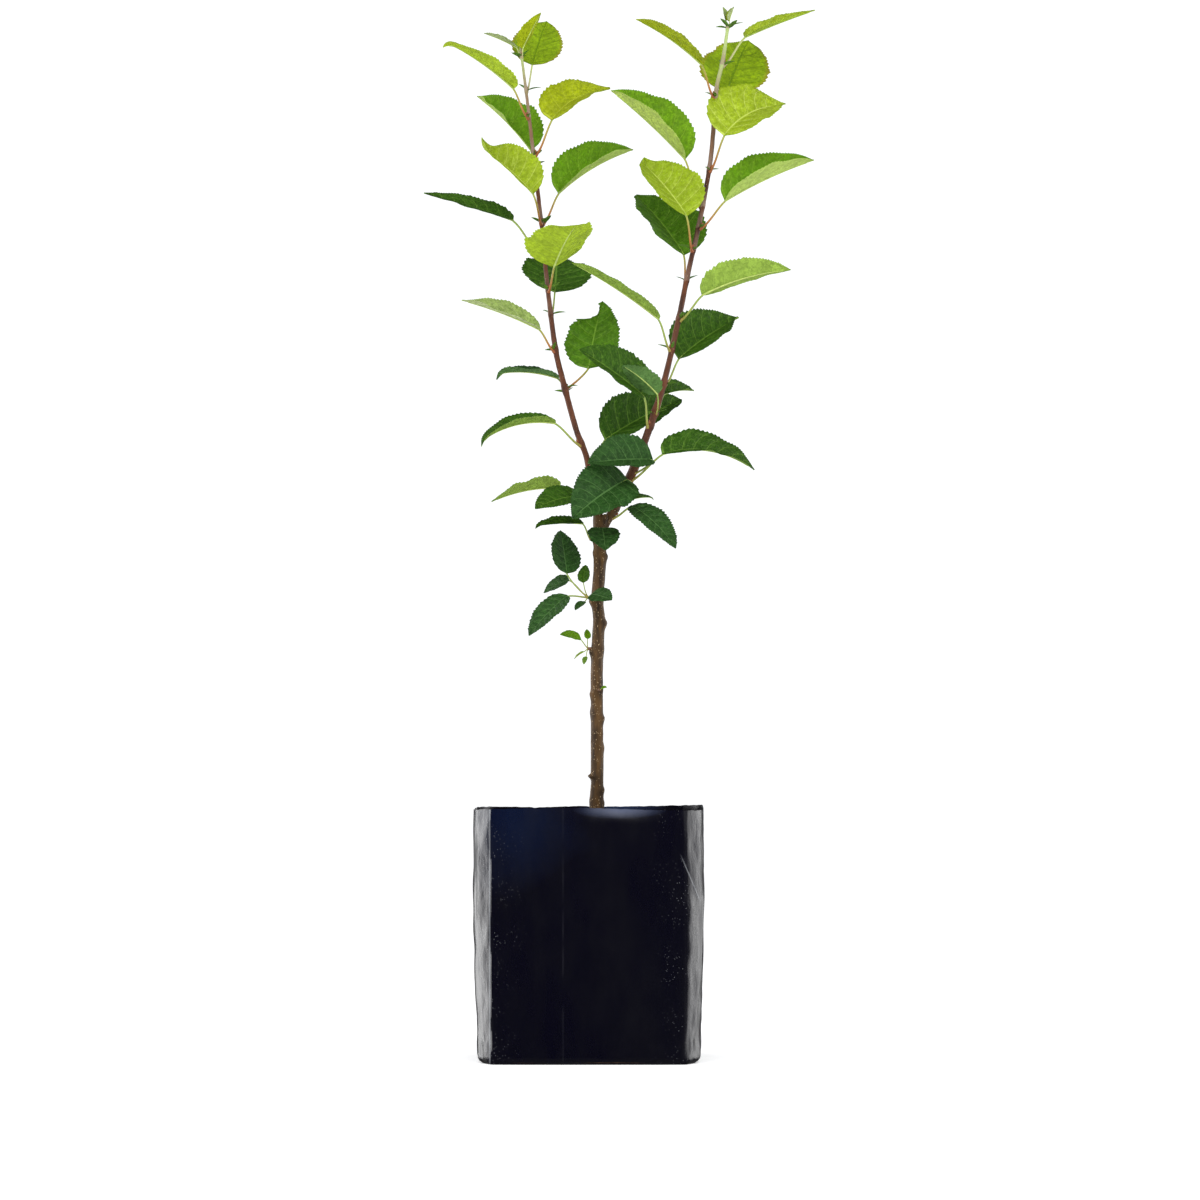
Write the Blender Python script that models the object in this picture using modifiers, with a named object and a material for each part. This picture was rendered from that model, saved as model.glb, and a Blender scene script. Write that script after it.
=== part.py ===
# A young dwarf apple tree that forks into two leaders, planted in a square planter bag.
# Metres, +Z up. The origin is the middle of the bag's flat underside, +X points to the
# right as one faces the tree and +Y points away. Sizes below are millimetres and degrees.
# A bearing is measured from +X, anticlockwise from above. A rise is measured from level.

import math
import random

import bpy
import bmesh
from mathutils import Matrix, Vector

MM = 0.001
GAP = 0.35
SEED = 7

# planter bag and its filling
BAG_WIDTH = 200.0
BAG_FOOT_WIDTH = 194.0
BAG_HEIGHT = 220.0
BAG_WALL = 1.4
BAG_CORNER = 38.0
BAG_BULGE = 1.5
BAG_RIM_WAVE = 1.2
SOIL_LEVEL = 195.0
SOIL_MOUND = 2.0

# the stem, from the soil up through the fork into the left leader
# each stretch is its length, its lean to the right and its lean away
TRUNK_FOOT = (5.5, 0.0)
TRUNK_STRETCHES = [(39, 2.2, 0), (52, 0, 1), (61, 0, -1), (35, 2.8, 0), (17, -4.4, 0),
                   (35, 3.6, 0), (39, -1.9, 0)]
TRUNK_DIAMETERS = [(0, 18.5), (8, 14.2), (22, 12.0), (60, 11.0), (200, 10.6), (262, 11.4),
                   (278, 9.8)]
TRUNK_KNUCKLES = [(39, 1.2), (75, 1.0), (126, 1.4), (161, 2.0), (204, 2.2), (243, 1.2)]
LEFT_STRETCHES = [(49, -11.4, -2), (27.7, -20.3, -3), (46.6, -15.2, -2), (29.7, -12.6, 0),
                  (57.4, -7.0, 1), (52.2, -5.5, -2), (69.5, -6.6, -3), (35.2, -6.5, -2),
                  (46.4, -7.4, 0)]
LEFT_DIAMETERS = [(0, 7.4), (16, 5.8), (60, 5.1), (120, 5.0), (152, 4.7), (195, 4.0),
                  (230, 3.6), (310, 3.4), (350, 2.8), (398, 2.3), (408, 1.4)]

# the right leader leaves the stem on a collar below the fork
RIGHT_FOOT = (6.8, 0.0, 452.0)
RIGHT_STRETCHES = [(17, 29, 3), (19.8, 31, 4), (42.8, 24.3, 3), (60.4, 19.3, 2),
                   (61.7, 13.5, 1), (44.9, 11.6, 2), (44.1, 12.7, 3), (47.8, 10.5, 3),
                   (32.2, 6.4, 1), (37.1, 3.9, 0), (28.7, 12.3, 1), (30.3, 8.3, 0)]
RIGHT_DIAMETERS = [(0, 9.0), (16, 8.0), (36, 7.2), (98, 6.4), (150, 5.2), (210, 4.8),
                   (250, 4.3), (310, 4.0), (360, 4.0), (420, 3.4), (448, 2.6), (466, 1.4)]
COLLAR_RISE = 20.0

# where the limbs stop and the leafy shoots take over, as heights
FORK_TOP = 473.0
LEFT_BOUGH_TOP = 691.0
LEFT_SHOOT_BREAK = 765.0
RIGHT_BOUGH_TOP = 692.0
RIGHT_SHOOT_BREAK = 762.0

# the pruned snag between the leaders
SNAG_LENGTH = 10.0
SNAG_DIAMETER = 4.4

SPUR_LENGTH = 3.0
SPUR_DIAMETER = 2.8
STALK_DIAMETER = 1.7
BLADE_THINNESS = 78.0
BLADE_SEGMENTS = 6
STATION_STEP = 11.0
LIMB_SIDES = 2

LIME = (0.42, 0.55, 0.05)
PALE = (0.50, 0.62, 0.22)
MID = (0.11, 0.29, 0.03)
DARK = (0.03, 0.11, 0.02)
BLUE = (0.035, 0.12, 0.07)
BARK = (0.17, 0.10, 0.05)
YOUNG_BARK = (0.16, 0.06, 0.04)
FILM = (0.006, 0.007, 0.018)
MIX = (0.035, 0.022, 0.014)

# Each leaf is its height on the limb, then its stalk (length, bearing, rise), then its
# blade (length, width, bearing, rise) and how the blade is held (arch, fold, roll).
LEFT_SPRAYS = {
    "left_spray_1": (180, LIME, [
        (494, (34, 150, 6), (66, 34, -158, -12), (26, 20, 16)),
        (487, (15, -145, 8), (50, 32, -146, -14), (26, 14, -30))]),
    "left_spray_2": (46, DARK, [
        (516, (31, 48, 48), (90, 54, 34, 24), (12, 34, 38))]),
    "left_spray_3": (-147, DARK, [
        (536, (30, -150, 33), (74, 26, -163, -15), (48, 34, -10))]),
    "left_spray_4": (70, MID, [
        (584, (28, 24, 36), (70, 47, 69, 60), (16, 8, 6)),
        (580, (18, 118, 43), (60, 28, -160, 2), (30, 20, -8))]),
    "left_spray_5": (-145, PALE, [
        (617, (23, -145, 46), (76, 32, -160, 18), (14, 26, -28))]),
    "left_spray_6": (71, DARK, [
        (648, (22, 71, 60), (64, 60, 88, 32), (18, 12, 8))]),
    "left_spray_7": (-70, LIME, [
        (669, (24, -70, 50), (76, 62, -74, 24), (20, 24, 6))]),
}
RIGHT_SPRAYS = {
    "right_spray_1": (-5, BLUE, [
        (474, (24, -41, 16), (67, 27, -46, -35), (26, 14, 20)),
        (478, (13, 51, 30), (32, 16, 29, 8), (26, 20, 15))]),
    "right_spray_2": (-30, BLUE, [
        (512, (22, -33, 24), (62, 46, -156, -4), (12, 30, -45)),
        (516, (17, 45, 40), (38, 24, 150, 23), (18, 12, -20)),
        (506, (36, -24, 33), (88, 42, 16, -9), (52, 26, 30)),
        (505, (13, -100, -6), (76, 54, -135, -28), (16, 24, -45))]),
    "right_spray_3": (-118, DARK, [
        (551, (27, -115, 65), (72, 50, -165, 34), (14, 28, -48))]),
    "right_spray_4": (-40, PALE, [
        (563, (21, -82, 44), (46, 24, -142, 31), (20, 12, 30)),
        (563, (19, 43, 56), (34, 23, 38, 6), (24, 34, 28))]),
    "right_spray_5": (38, DARK, [
        (588, (27, 38, 53), (76, 57, 35, 30), (14, 38, 34))]),
    "right_spray_6": (-134, PALE, [
        (618, (30, -134, 57), (92, 36, -165, 31), (12, 20, -8))]),
    "right_spray_7": (-26, PALE, [
        (645, (29, -26, 41), (84, 37, -19, 14), (22, 36, -38))]),
    "right_spray_8": (98, DARK, [
        (678, (26, 98, 60), (82, 68, 134, 43), (14, 26, -8))]),
}
TRUNK_SPRAYS = {
    "trunk_spray_left": (-159, DARK, [
        (452, (20, -159, 42), (45, 18, -162, -3), (12, 22, -25))]),
    "trunk_spray_front": (-90, DARK, [
        (456, (11, -74, 30), (32, 28, -84, -39), (16, 10, 0))]),
    "trunk_spur_upper": (-170, DARK, [
        (401, (34, 180, 38), (44, 28, 105, 60), (12, 12, 14)),
        (400, (27, -165, 6), (52, 27, -152, -43), (18, 12, -22)),
        (402, (29, 168, 30), (26, 18, 165, -26), (24, 14, -40)),
        (403, (17, 165, 40), (18, 11, 75, 62), (12, 16, 0)),
        (400, (12.5, -118, 17), (25, 20, -42, -12), (16, 10, 34)),
        (399, (13, -150, -6), (14, 9, -135, -34), (16, 14, -10))]),
    "trunk_spur_lower": (-170, LIME, [
        (358, (16, 172, 26), (20, 14, -160, 11), (16, 16, -34)),
        (357, (12, 160, 42), (10, 6, 100, 60), (10, 14, 0)),
        (356, (12, -165, -8), (11, 7, 170, -38), (22, 16, 0)),
        (354, (12, -150, -20), (8, 5, -120, -62), (16, 14, 0))]),
    "trunk_bud_leaf": (-72, LIME, [
        (321, (10.5, -70, 6), (6, 5, -30, 8), (18, 14, 30))]),
}
LEFT_SHOOTS = {
    "left_shoot_middle": (LEFT_BOUGH_TOP, LEFT_SHOOT_BREAK, MID, [
        (728, (32, -107, 43), (80, 48, 140, 36), (14, 42, -26)),
        (727, (32, 37, 55), (88, 50, 32, 28), (22, 48, 24)),
        (698, (44, 155, 47), (84, 31, 168, 17), (6, 16, -20))]),
    "left_shoot_top": (LEFT_SHOOT_BREAK, 880.0, LIME, [
        (872, (6, -73, 60), (38, 16, -43, 53), (8, 34, 0)),
        (842, (26, 74, 60), (60, 44, 69, 39), (16, 10, 4)),
        (871, (10, 124, 52), (35, 15, 157, 23), (12, 18, 14)),
        (819, (28, -143, 57), (82, 36, -150, 28), (24, 28, -27)),
        (777, (22, 100, 39), (88, 50, 133, 36), (14, 42, -8)),
        (786, (34, -30, 58), (70, 46, 34, 24), (42, 32, 44))]),
}
RIGHT_SHOOTS = {
    "right_shoot_middle": (RIGHT_BOUGH_TOP, RIGHT_SHOOT_BREAK, MID, [
        (743, (46, 140, 65), (92, 56, 163, 42), (10, 52, -20)),
        (725, (32, -15, 43), (92, 50, 20, 24), (12, 52, 21)),
        (705, (32, -116, 60), (76, 54, 135, 42), (14, 36, -28))]),
    "right_shoot_top": (RIGHT_SHOOT_BREAK, 912.0, LIME, [
        (867, (34, 33, 46.5), (70, 30, 17, 21), (4, 20, 8)),
        (839, (30, -140, 60), (75, 34, -153, 29), (18, 28, -24)),
        (824, (27, 52, 47), (73, 57, 66, 40), (14, 6, 0)),
        (775, (34, -45, 55), (72, 56, 36, 24), (50, 28, 50)),
        (899, (7, 120, 60), (14, 7, 150, 64), (14, 20, 0)),
        (900, (6, -60, 55), (13, 7, -40, 60), (14, 20, 0))]),
}


def heading(bearing, rise):
    turn = math.radians(bearing)
    climb = math.radians(rise)
    level = math.cos(climb)
    return Vector((math.cos(turn) * level, math.sin(turn) * level, math.sin(climb)))


def between(table, place):
    """Straight-line reading of a size given at a few places along a limb."""
    for (start, first), (end, second) in zip(table, table[1:]):
        if place <= end:
            share = max(0.0, (place - start) / (end - start))
            return first + (second - first) * share
    return table[-1][1]


def walk(foot, stretches):
    points = [Vector(foot)]
    for length, lean_right, lean_away in stretches:
        across = length * math.sin(math.radians(lean_right))
        away = length * math.sin(math.radians(lean_away))
        up = math.sqrt(length ** 2 - across ** 2 - away ** 2)
        points.append(points[-1] + Vector((across, away, up)))
    return points


def smooth_path(points, step):
    """A smooth line through the points, with a station about every step."""
    ends = [points[0] * 2 - points[1]] + points + [points[-1] * 2 - points[-2]]
    line = []
    for before, start, end, after in zip(ends, ends[1:], ends[2:], ends[3:]):
        count = max(2, round((end - start).length / step))
        for number in range(count):
            t = number / count
            bend = (before * -1 + start * 3 - end * 3 + after) * t ** 3
            bend += (before * 2 - start * 5 + end * 4 - after) * t ** 2
            line.append(start + (bend + (end - before) * t) * 0.5)
    return line + [points[-1]]


class Limb:
    """A limb's centre line and its thickness, both read by height."""

    def __init__(self, foot, stretches, diameters, knuckles=()):
        self.line = smooth_path(walk(foot, stretches), STATION_STEP)
        self.foot_height = self.line[0].z
        self.diameters = diameters
        self.knuckles = knuckles

    def centre(self, height):
        for low, high in zip(self.line, self.line[1:]):
            if height <= high.z:
                return low.lerp(high, (height - low.z) / (high.z - low.z))
        return self.line[-1].copy()

    def radius(self, height):
        place = height - self.foot_height
        size = between(self.diameters, place)
        for knuckle, extra in self.knuckles:
            size += extra * math.exp(-((place - knuckle) / 4.0) ** 2)
        return size / 2

    def stations(self, bottom, top):
        """Stations from bottom to top, closer together at the knuckles."""
        heights = {round(point.z, 2) for point in self.line if bottom + 3 < point.z < top - 3}
        for knuckle, extra in self.knuckles:
            heights |= {self.foot_height + knuckle + offset for offset in (-5, 0, 5)
                        if bottom + 3 < self.foot_height + knuckle + offset < top - 3}
        heights = sorted(heights | {bottom, top})
        kept = [heights[0]]
        for height in heights[1:]:
            if height - kept[-1] > 3.5 or height == top:
                kept.append(height)
        return [(self.centre(height), self.radius(height)) for height in kept]


def material(name, colour, roughness):
    made = bpy.data.materials.new(name)
    made.use_nodes = True
    shader = made.node_tree.nodes["Principled BSDF"]
    shader.inputs["Base Color"].default_value = (*colour, 1.0)
    shader.inputs["Roughness"].default_value = roughness
    shader.inputs["Metallic"].default_value = 0.0
    return made


def finish(node, name, collection, skin):
    node.name = name
    node.data.name = name
    node.data.materials.clear()
    node.data.materials.append(skin)
    node.data.shade_smooth()
    node.data.set_sharp_from_angle(angle=math.radians(40))
    collection.objects.link(node)
    return node


def evaluated_mesh(node):
    """The evaluated shape of a curve or modified object, with its caps welded on."""
    bpy.context.view_layer.update()
    seen = node.evaluated_get(bpy.context.evaluated_depsgraph_get())
    mesh = bpy.data.meshes.new_from_object(seen)
    work = bmesh.new()
    work.from_mesh(mesh)
    bmesh.ops.remove_doubles(work, verts=work.verts, dist=0.000002)
    bmesh.ops.triangulate(work, faces=[face for face in work.faces if len(face.verts) > 4])
    bmesh.ops.recalc_face_normals(work, faces=work.faces)
    closed = all(edge.is_manifold for edge in work.edges)
    work.to_mesh(mesh)
    work.free()
    return mesh, closed


def welded_mesh(node, name):
    bpy.context.scene.collection.objects.link(node)
    mesh, _ = evaluated_mesh(node)
    source = node.data
    bpy.data.objects.remove(node)
    if isinstance(source, bpy.types.Curve):
        bpy.data.curves.remove(source)
    mesh.name = name
    return bpy.data.objects.new(name, mesh)


def tube(name, stations, resolution, level_ends=False):
    """A tapering round tube with filled ends through (centre, radius) stations."""
    curve = bpy.data.curves.new(name, "CURVE")
    curve.dimensions = "3D"
    curve.bevel_depth = MM
    curve.bevel_resolution = resolution
    curve.use_fill_caps = True
    spline = curve.splines.new("POLY")
    spline.points.add(len(stations) - 1)
    for point, (centre, radius) in zip(spline.points, stations):
        point.co = (*(centre * MM), 1.0)
        point.radius = radius
    made = welded_mesh(bpy.data.objects.new(name, curve), name)
    if level_ends:
        for centre, radius in (stations[0], stations[-1]):
            for vertex in made.data.vertices:
                if (vertex.co / MM - centre).length < radius * 1.3:
                    vertex.co.z = centre.z * MM
    return made


def outline(along):
    """Half width of an oval leaf with a drawn-out tip, as a share of its widest."""
    share = math.sin(math.pi * min(1.0, along) ** 0.7) ** 0.62
    return max(0.06, share * (1.0 - 0.18 * along ** 6))


class Blade:
    """A leaf blade that starts at base: an arched midrib with two folded halves."""

    def __init__(self, base, size, hold):
        self.base = base
        self.length, self.width, self.bearing, self.rise = size
        self.arch, self.fold, self.roll = hold

    def frame(self, along):
        """The midrib's point, and the ways it runs, spreads and faces there."""
        turn = math.radians(self.bearing)
        level = Vector((math.cos(turn), math.sin(turn), 0))
        bend = math.radians(max(self.arch, 0.5))
        start = math.radians(self.rise) + bend / 2
        pitch = start - bend * along
        out = self.length * (math.sin(start) - math.sin(pitch)) / bend
        up = self.length * (math.cos(pitch) - math.cos(start)) / bend
        point = self.base + level * out + Vector((0, 0, up))
        run = level * math.cos(pitch) + Vector((0, 0, math.sin(pitch)))
        face = Vector((0, 0, math.cos(pitch))) - level * math.sin(pitch)
        side = face.cross(run)
        roll = Matrix.Rotation(math.radians(self.roll), 3, run)
        return point, run, roll @ side, roll @ face

    def spot(self, along, across):
        point, run, side, face = self.frame(along)
        fold = math.radians(self.fold)
        reach = self.width / 2 * outline(along)
        return point + reach * (side * across * math.cos(fold) + face * abs(across) * math.sin(fold))


def blade_solid(name, blade):
    mesh = bpy.data.meshes.new(name)
    work = bmesh.new()
    segments = BLADE_SEGMENTS if blade.length > 40 else 4
    bmesh.ops.create_grid(work, x_segments=segments, y_segments=2, size=1.0)
    for vertex in work.verts:
        along = 0.5 - 0.5 * math.cos(math.pi * (vertex.co.x + 1) / 2)
        vertex.co = blade.spot(along, vertex.co.y) * MM
    work.to_mesh(mesh)
    work.free()
    sheet = bpy.data.objects.new(name, mesh)
    thick = sheet.modifiers.new("thickness", "SOLIDIFY")
    thick.thickness = max(0.55, blade.length / BLADE_THINNESS) * MM
    thick.offset = 0.0
    return welded_mesh(sheet, name)


def leaf_solids(name, root, origin, leaf, chance):
    """The stalk and the blade of one leaf: root is where the stalk starts."""
    height, stalk, size, hold = leaf
    length, bearing, rise = stalk
    base = origin + heading(bearing, rise) * length
    arch = hold[0] + chance.uniform(-2.0, 2.0)
    blade = Blade(base, size, (arch, hold[1], hold[2]))
    thick = min(STALK_DIAMETER, 0.6 + size[0] / 60) / 2
    belly = root.lerp(base, 0.55) - Vector((0, 0, length * 0.05))
    tip = blade.spot(0.06, 0) - blade.frame(0.06)[3] * 0.1
    keel = blade.spot(0.42, 0) - blade.frame(0.42)[3] * 0.2
    stations = [(root, thick * 1.25), (belly, thick), (tip, thick), (keel, thick * 0.6)]
    return [tube(name + "_stalk", stations, 0), blade_solid(name + "_blade", blade)]


def united(first, others, name):
    """One closed solid from several that overlap, joined by a Boolean on a collection."""
    group = bpy.data.collections.new(name + "_pieces")
    bpy.context.scene.collection.children.link(group)
    group.hide_render = True
    for piece in others:
        piece.display_type = "WIRE"
        piece.hide_render = True
        group.objects.link(piece)
    union = first.modifiers.new("union", "BOOLEAN")
    union.operation = "UNION"
    union.operand_type = "COLLECTION"
    union.collection = group
    bpy.context.scene.collection.objects.link(first)
    for solver in ("EXACT", "MANIFOLD"):
        union.solver = solver
        mesh, closed = evaluated_mesh(first)
        if closed:
            break
    for piece in list(group.objects) + [first]:
        bpy.data.objects.remove(piece)
    bpy.data.collections.remove(group)
    mesh.name = name
    return bpy.data.objects.new(name, mesh)


def spray(name, limb, side, leaves, collection, skin, chance):
    """Leaves on one short spur, which stands just clear of the limb's bark."""
    middle = limb.centre(sum(leaf[0] for leaf in leaves) / len(leaves))
    axis = (limb.centre(middle.z + 3) - limb.centre(middle.z - 3)).normalized()
    outward = heading(side, 12)
    outward = (outward - axis * outward.dot(axis)).normalized()
    start = limb.radius(middle.z) + GAP
    tip = middle + outward * (start + SPUR_LENGTH)
    spur_stations = [(middle + outward * (start + 0.1), SPUR_DIAMETER * 0.42),
                     (middle + outward * (start + SPUR_LENGTH * 0.5), SPUR_DIAMETER / 2),
                     (tip + outward * 0.8, SPUR_DIAMETER * 0.42)]
    spur = tube(name + "_spur", spur_stations, 0)
    pieces = []
    for number, leaf in enumerate(leaves):
        label = f"{name}_{number}"
        pieces += leaf_solids(label, tip, limb.centre(leaf[0]), leaf, chance)
    return finish(united(spur, pieces, name), name, collection, skin)


def shoot(name, limb, bottom, top, leaves, collection, skin, chance):
    """A length of young leader that goes on from the bough, with its leaves fused on."""
    stem = tube(name + "_stem", limb.stations(bottom + GAP / 2, top - GAP / 2), 1)
    pieces = []
    for number, leaf in enumerate(leaves):
        label = f"{name}_{number}"
        node = limb.centre(leaf[0])
        pieces += leaf_solids(label, node, node, leaf, chance)
    return finish(united(stem, pieces, name), name, collection, skin)


def bag_outline(width, height, count):
    """Points round a square with rounded corners, at one height."""
    corner = BAG_CORNER
    straight = width / 2 - corner
    points = []
    for quarter in range(4):
        turn = quarter * math.pi / 2
        for number in range(count):
            angle = turn + number / (count - 1) * math.pi / 2
            middle = Vector((straight, straight, 0))
            middle.rotate(Matrix.Rotation(turn, 3, "Z"))
            points.append(middle + Vector((math.cos(angle), math.sin(angle), 0)) * corner
                          + Vector((0, 0, height)))
    return points


def bag_width(height):
    share = height / BAG_HEIGHT
    return (BAG_FOOT_WIDTH + (BAG_WIDTH - BAG_FOOT_WIDTH) * min(1.0, share * 1.15)
            + BAG_BULGE * math.sin(math.pi * share))


def loft(name, rings, capped_top):
    mesh = bpy.data.meshes.new(name)
    work = bmesh.new()
    rows = [[work.verts.new(point * MM) for point in ring] for ring in rings]
    for low, high in zip(rows, rows[1:]):
        for number in range(len(low)):
            after = (number + 1) % len(low)
            work.faces.new((low[number], low[after], high[after], high[number]))
    work.faces.new(list(reversed(rows[0])))
    if capped_top:
        work.faces.new(rows[-1])
    bmesh.ops.recalc_face_normals(work, faces=work.faces)
    work.to_mesh(mesh)
    work.free()
    return bpy.data.objects.new(name, mesh)


def planter_bag():
    rings = []
    for share in (0.0, 0.03, 0.12, 0.35, 0.62, 0.86, 1.0):
        height = share * BAG_HEIGHT
        draw_in = 5.0 if share == 0.0 else 0.0
        ring = bag_outline(bag_width(height) - draw_in, height, 7)
        if share == 1.0:
            for point in ring:
                swing = math.atan2(point.y, point.x)
                point.z += BAG_RIM_WAVE * (math.sin(swing * 3 + 0.6) - 1)
        rings.append(ring)
    sheet = loft("planter_bag", rings, False)
    wall = sheet.modifiers.new("film", "SOLIDIFY")
    wall.thickness = BAG_WALL * MM
    wall.offset = -1.0
    wall.use_even_offset = True
    return welded_mesh(sheet, "planter_bag")


def potting_mix():
    inset = 2 * (BAG_WALL + GAP)
    heights = [BAG_WALL + GAP, 0.12 * BAG_HEIGHT, 0.35 * BAG_HEIGHT, 0.62 * BAG_HEIGHT,
               SOIL_LEVEL - SOIL_MOUND]
    rings = []
    for height in heights:
        tuck = 6.0 if height == heights[0] else 0.6
        rings.append(bag_outline(bag_width(height) - inset - tuck, height, 7))
    rings.append(bag_outline(BAG_WIDTH * 0.72, SOIL_LEVEL, 7))
    return loft("potting_mix", rings, True)


def trunk_solid(trunk, right):
    bottom = SOIL_LEVEL + GAP
    stem = tube("stem", trunk.stations(bottom, FORK_TOP), LIMB_SIDES, True)
    collar_top = right.foot_height + COLLAR_RISE
    collar = tube("collar", right.stations(right.foot_height, collar_top), LIMB_SIDES)
    snag_foot = trunk.centre(FORK_TOP - 9) + Vector((4.0, -2.5, 0))
    snag_way = heading(-50, 74)
    snag = tube("snag", [(snag_foot, SNAG_DIAMETER / 2),
                         (snag_foot + snag_way * SNAG_LENGTH, SNAG_DIAMETER * 0.42)], 1)
    return united(stem, [collar, snag], "trunk"), collar_top


def build():
    for node in list(bpy.data.objects):
        bpy.data.objects.remove(node)
    chance = random.Random(SEED)
    tree = bpy.data.collections.new("potted_fruit_tree")
    bpy.context.scene.collection.children.link(tree)

    foot = (TRUNK_FOOT[0], TRUNK_FOOT[1], SOIL_LEVEL)
    trunk = Limb(foot, TRUNK_STRETCHES, TRUNK_DIAMETERS, TRUNK_KNUCKLES)
    left = Limb(trunk.line[-1], LEFT_STRETCHES, LEFT_DIAMETERS)
    right = Limb(RIGHT_FOOT, RIGHT_STRETCHES, RIGHT_DIAMETERS)

    finish(planter_bag(), "planter_bag", tree, material("bag_film", FILM, 0.35))
    finish(potting_mix(), "potting_mix", tree, material("potting_mix", MIX, 0.95))
    bark = material("trunk_bark", BARK, 0.8)
    stem, collar_top = trunk_solid(trunk, right)
    finish(stem, "trunk", tree, bark)
    left_line = left.stations(FORK_TOP + GAP, LEFT_BOUGH_TOP - GAP / 2)
    left_bough = tube("left_bough", left_line, LIMB_SIDES, True)
    finish(left_bough, "left_bough", tree, material("left_bark", YOUNG_BARK, 0.75))
    right_line = right.stations(collar_top + GAP, RIGHT_BOUGH_TOP - GAP / 2)
    right_bough = tube("right_bough", right_line, LIMB_SIDES)
    finish(right_bough, "right_bough", tree, material("right_bark", YOUNG_BARK, 0.75))

    for limb, sprays in ((left, LEFT_SPRAYS), (right, RIGHT_SPRAYS), (trunk, TRUNK_SPRAYS)):
        for name, (side, colour, leaves) in sprays.items():
            skin = material(name, colour, 0.5)
            spray(name, limb, side, leaves, tree, skin, chance)
    for limb, shoots in ((left, LEFT_SHOOTS), (right, RIGHT_SHOOTS)):
        for name, (bottom, top, colour, leaves) in shoots.items():
            skin = material(name, colour, 0.5)
            shoot(name, limb, bottom, top, leaves, tree, skin, chance)


build()
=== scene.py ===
import math
import random

import bpy
import bmesh
import numpy as np
from mathutils import Matrix, Vector, noise


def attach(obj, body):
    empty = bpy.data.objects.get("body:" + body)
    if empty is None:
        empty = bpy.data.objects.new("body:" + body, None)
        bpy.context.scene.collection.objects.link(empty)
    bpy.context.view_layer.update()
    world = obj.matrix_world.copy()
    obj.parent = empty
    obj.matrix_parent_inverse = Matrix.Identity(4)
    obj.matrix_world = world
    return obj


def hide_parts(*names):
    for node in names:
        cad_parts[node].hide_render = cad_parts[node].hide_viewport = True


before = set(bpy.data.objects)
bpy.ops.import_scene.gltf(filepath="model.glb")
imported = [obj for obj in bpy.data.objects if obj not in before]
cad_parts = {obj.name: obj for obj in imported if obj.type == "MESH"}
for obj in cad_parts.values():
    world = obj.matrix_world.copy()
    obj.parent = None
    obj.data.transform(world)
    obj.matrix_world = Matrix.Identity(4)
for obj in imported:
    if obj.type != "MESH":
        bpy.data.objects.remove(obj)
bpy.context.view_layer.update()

# A young fruit tree with two leaders in a black planter bag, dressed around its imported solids.
# Sizes are millimetres and degrees until a mesh is made. A bearing is measured from +X,
# anticlockwise from above, and a rise is measured from level.

mm = 0.001

limbs = {
    "step": 4.0,                # spacing of the stations along a limb
    "soil": 195.0,
    "trunkFoot": (5.5, 0.0),
    # each stretch is its length, its lean to the right and its lean away
    "trunk": [(39, 2.2, 0), (52, 0, 1), (61, 0, -1), (35, 2.8, 0), (17, -4.4, 0), (35, 3.6, 0),
              (39, -1.9, 0)],
    "left": [(49, -11.4, -2), (27.7, -20.3, -3), (46.6, -15.2, -2), (29.7, -12.6, 0),
             (57.4, -7.0, 1), (52.2, -5.5, -2), (69.5, -6.6, -3), (35.2, -6.5, -2),
             (46.4, -7.4, 0)],
    "rightFoot": (6.8, 0.0, 452.0),
    "right": [(17, 29, 3), (19.8, 31, 4), (42.8, 24.3, 3), (60.4, 19.3, 2), (61.7, 13.5, 1),
              (44.9, 11.6, 2), (44.1, 12.7, 3), (47.8, 10.5, 3), (32.2, 6.4, 1), (37.1, 3.9, 0),
              (28.7, 12.3, 1), (30.3, 8.3, 0)],
    # diameters are (place along the limb, diameter)
    "trunkGirth": [(0, 18.5), (8, 14.2), (22, 12.0), (60, 11.0), (200, 10.6), (262, 11.4),
                   (278, 9.8)],
    "leftGirth": [(0, 7.4), (16, 5.8), (60, 5.1), (120, 5.0), (152, 4.7), (195, 4.0), (230, 3.6),
                  (310, 3.4), (350, 2.8), (398, 2.3), (408, 1.4)],
    "rightGirth": [(0, 9.0), (16, 8.0), (36, 7.2), (98, 6.4), (150, 5.2), (210, 4.8), (250, 4.3),
                   (310, 4.0), (360, 4.0), (420, 3.4), (448, 2.6), (466, 1.4)],
    # old leaf scars and spurs on the trunk: height, bearing, how far they stand out, half length
    "knuckles": [(222, 0, 1.2, 5), (224, 180, 0.7, 6), (234, -12, 1.1, 3.5), (246, 178, 2.6, 2.2),
                 (271, 20, 1.0, 5), (296, 4, 1.7, 4.5), (301, 182, 0.9, 6), (317, 176, 1.0, 4),
                 (321, -60, 0.8, 3), (354, 178, 1.9, 4), (356, -10, 0.9, 7), (379, -4, 2.1, 4.5),
                 (398, 172, 2.3, 4), (403, -20, 1.0, 4), (437, -5, 1.4, 3.5), (440, 170, 1.0, 4),
                 (455, -95, 1.2, 4), (452, 190, 1.2, 4)],
}

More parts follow.
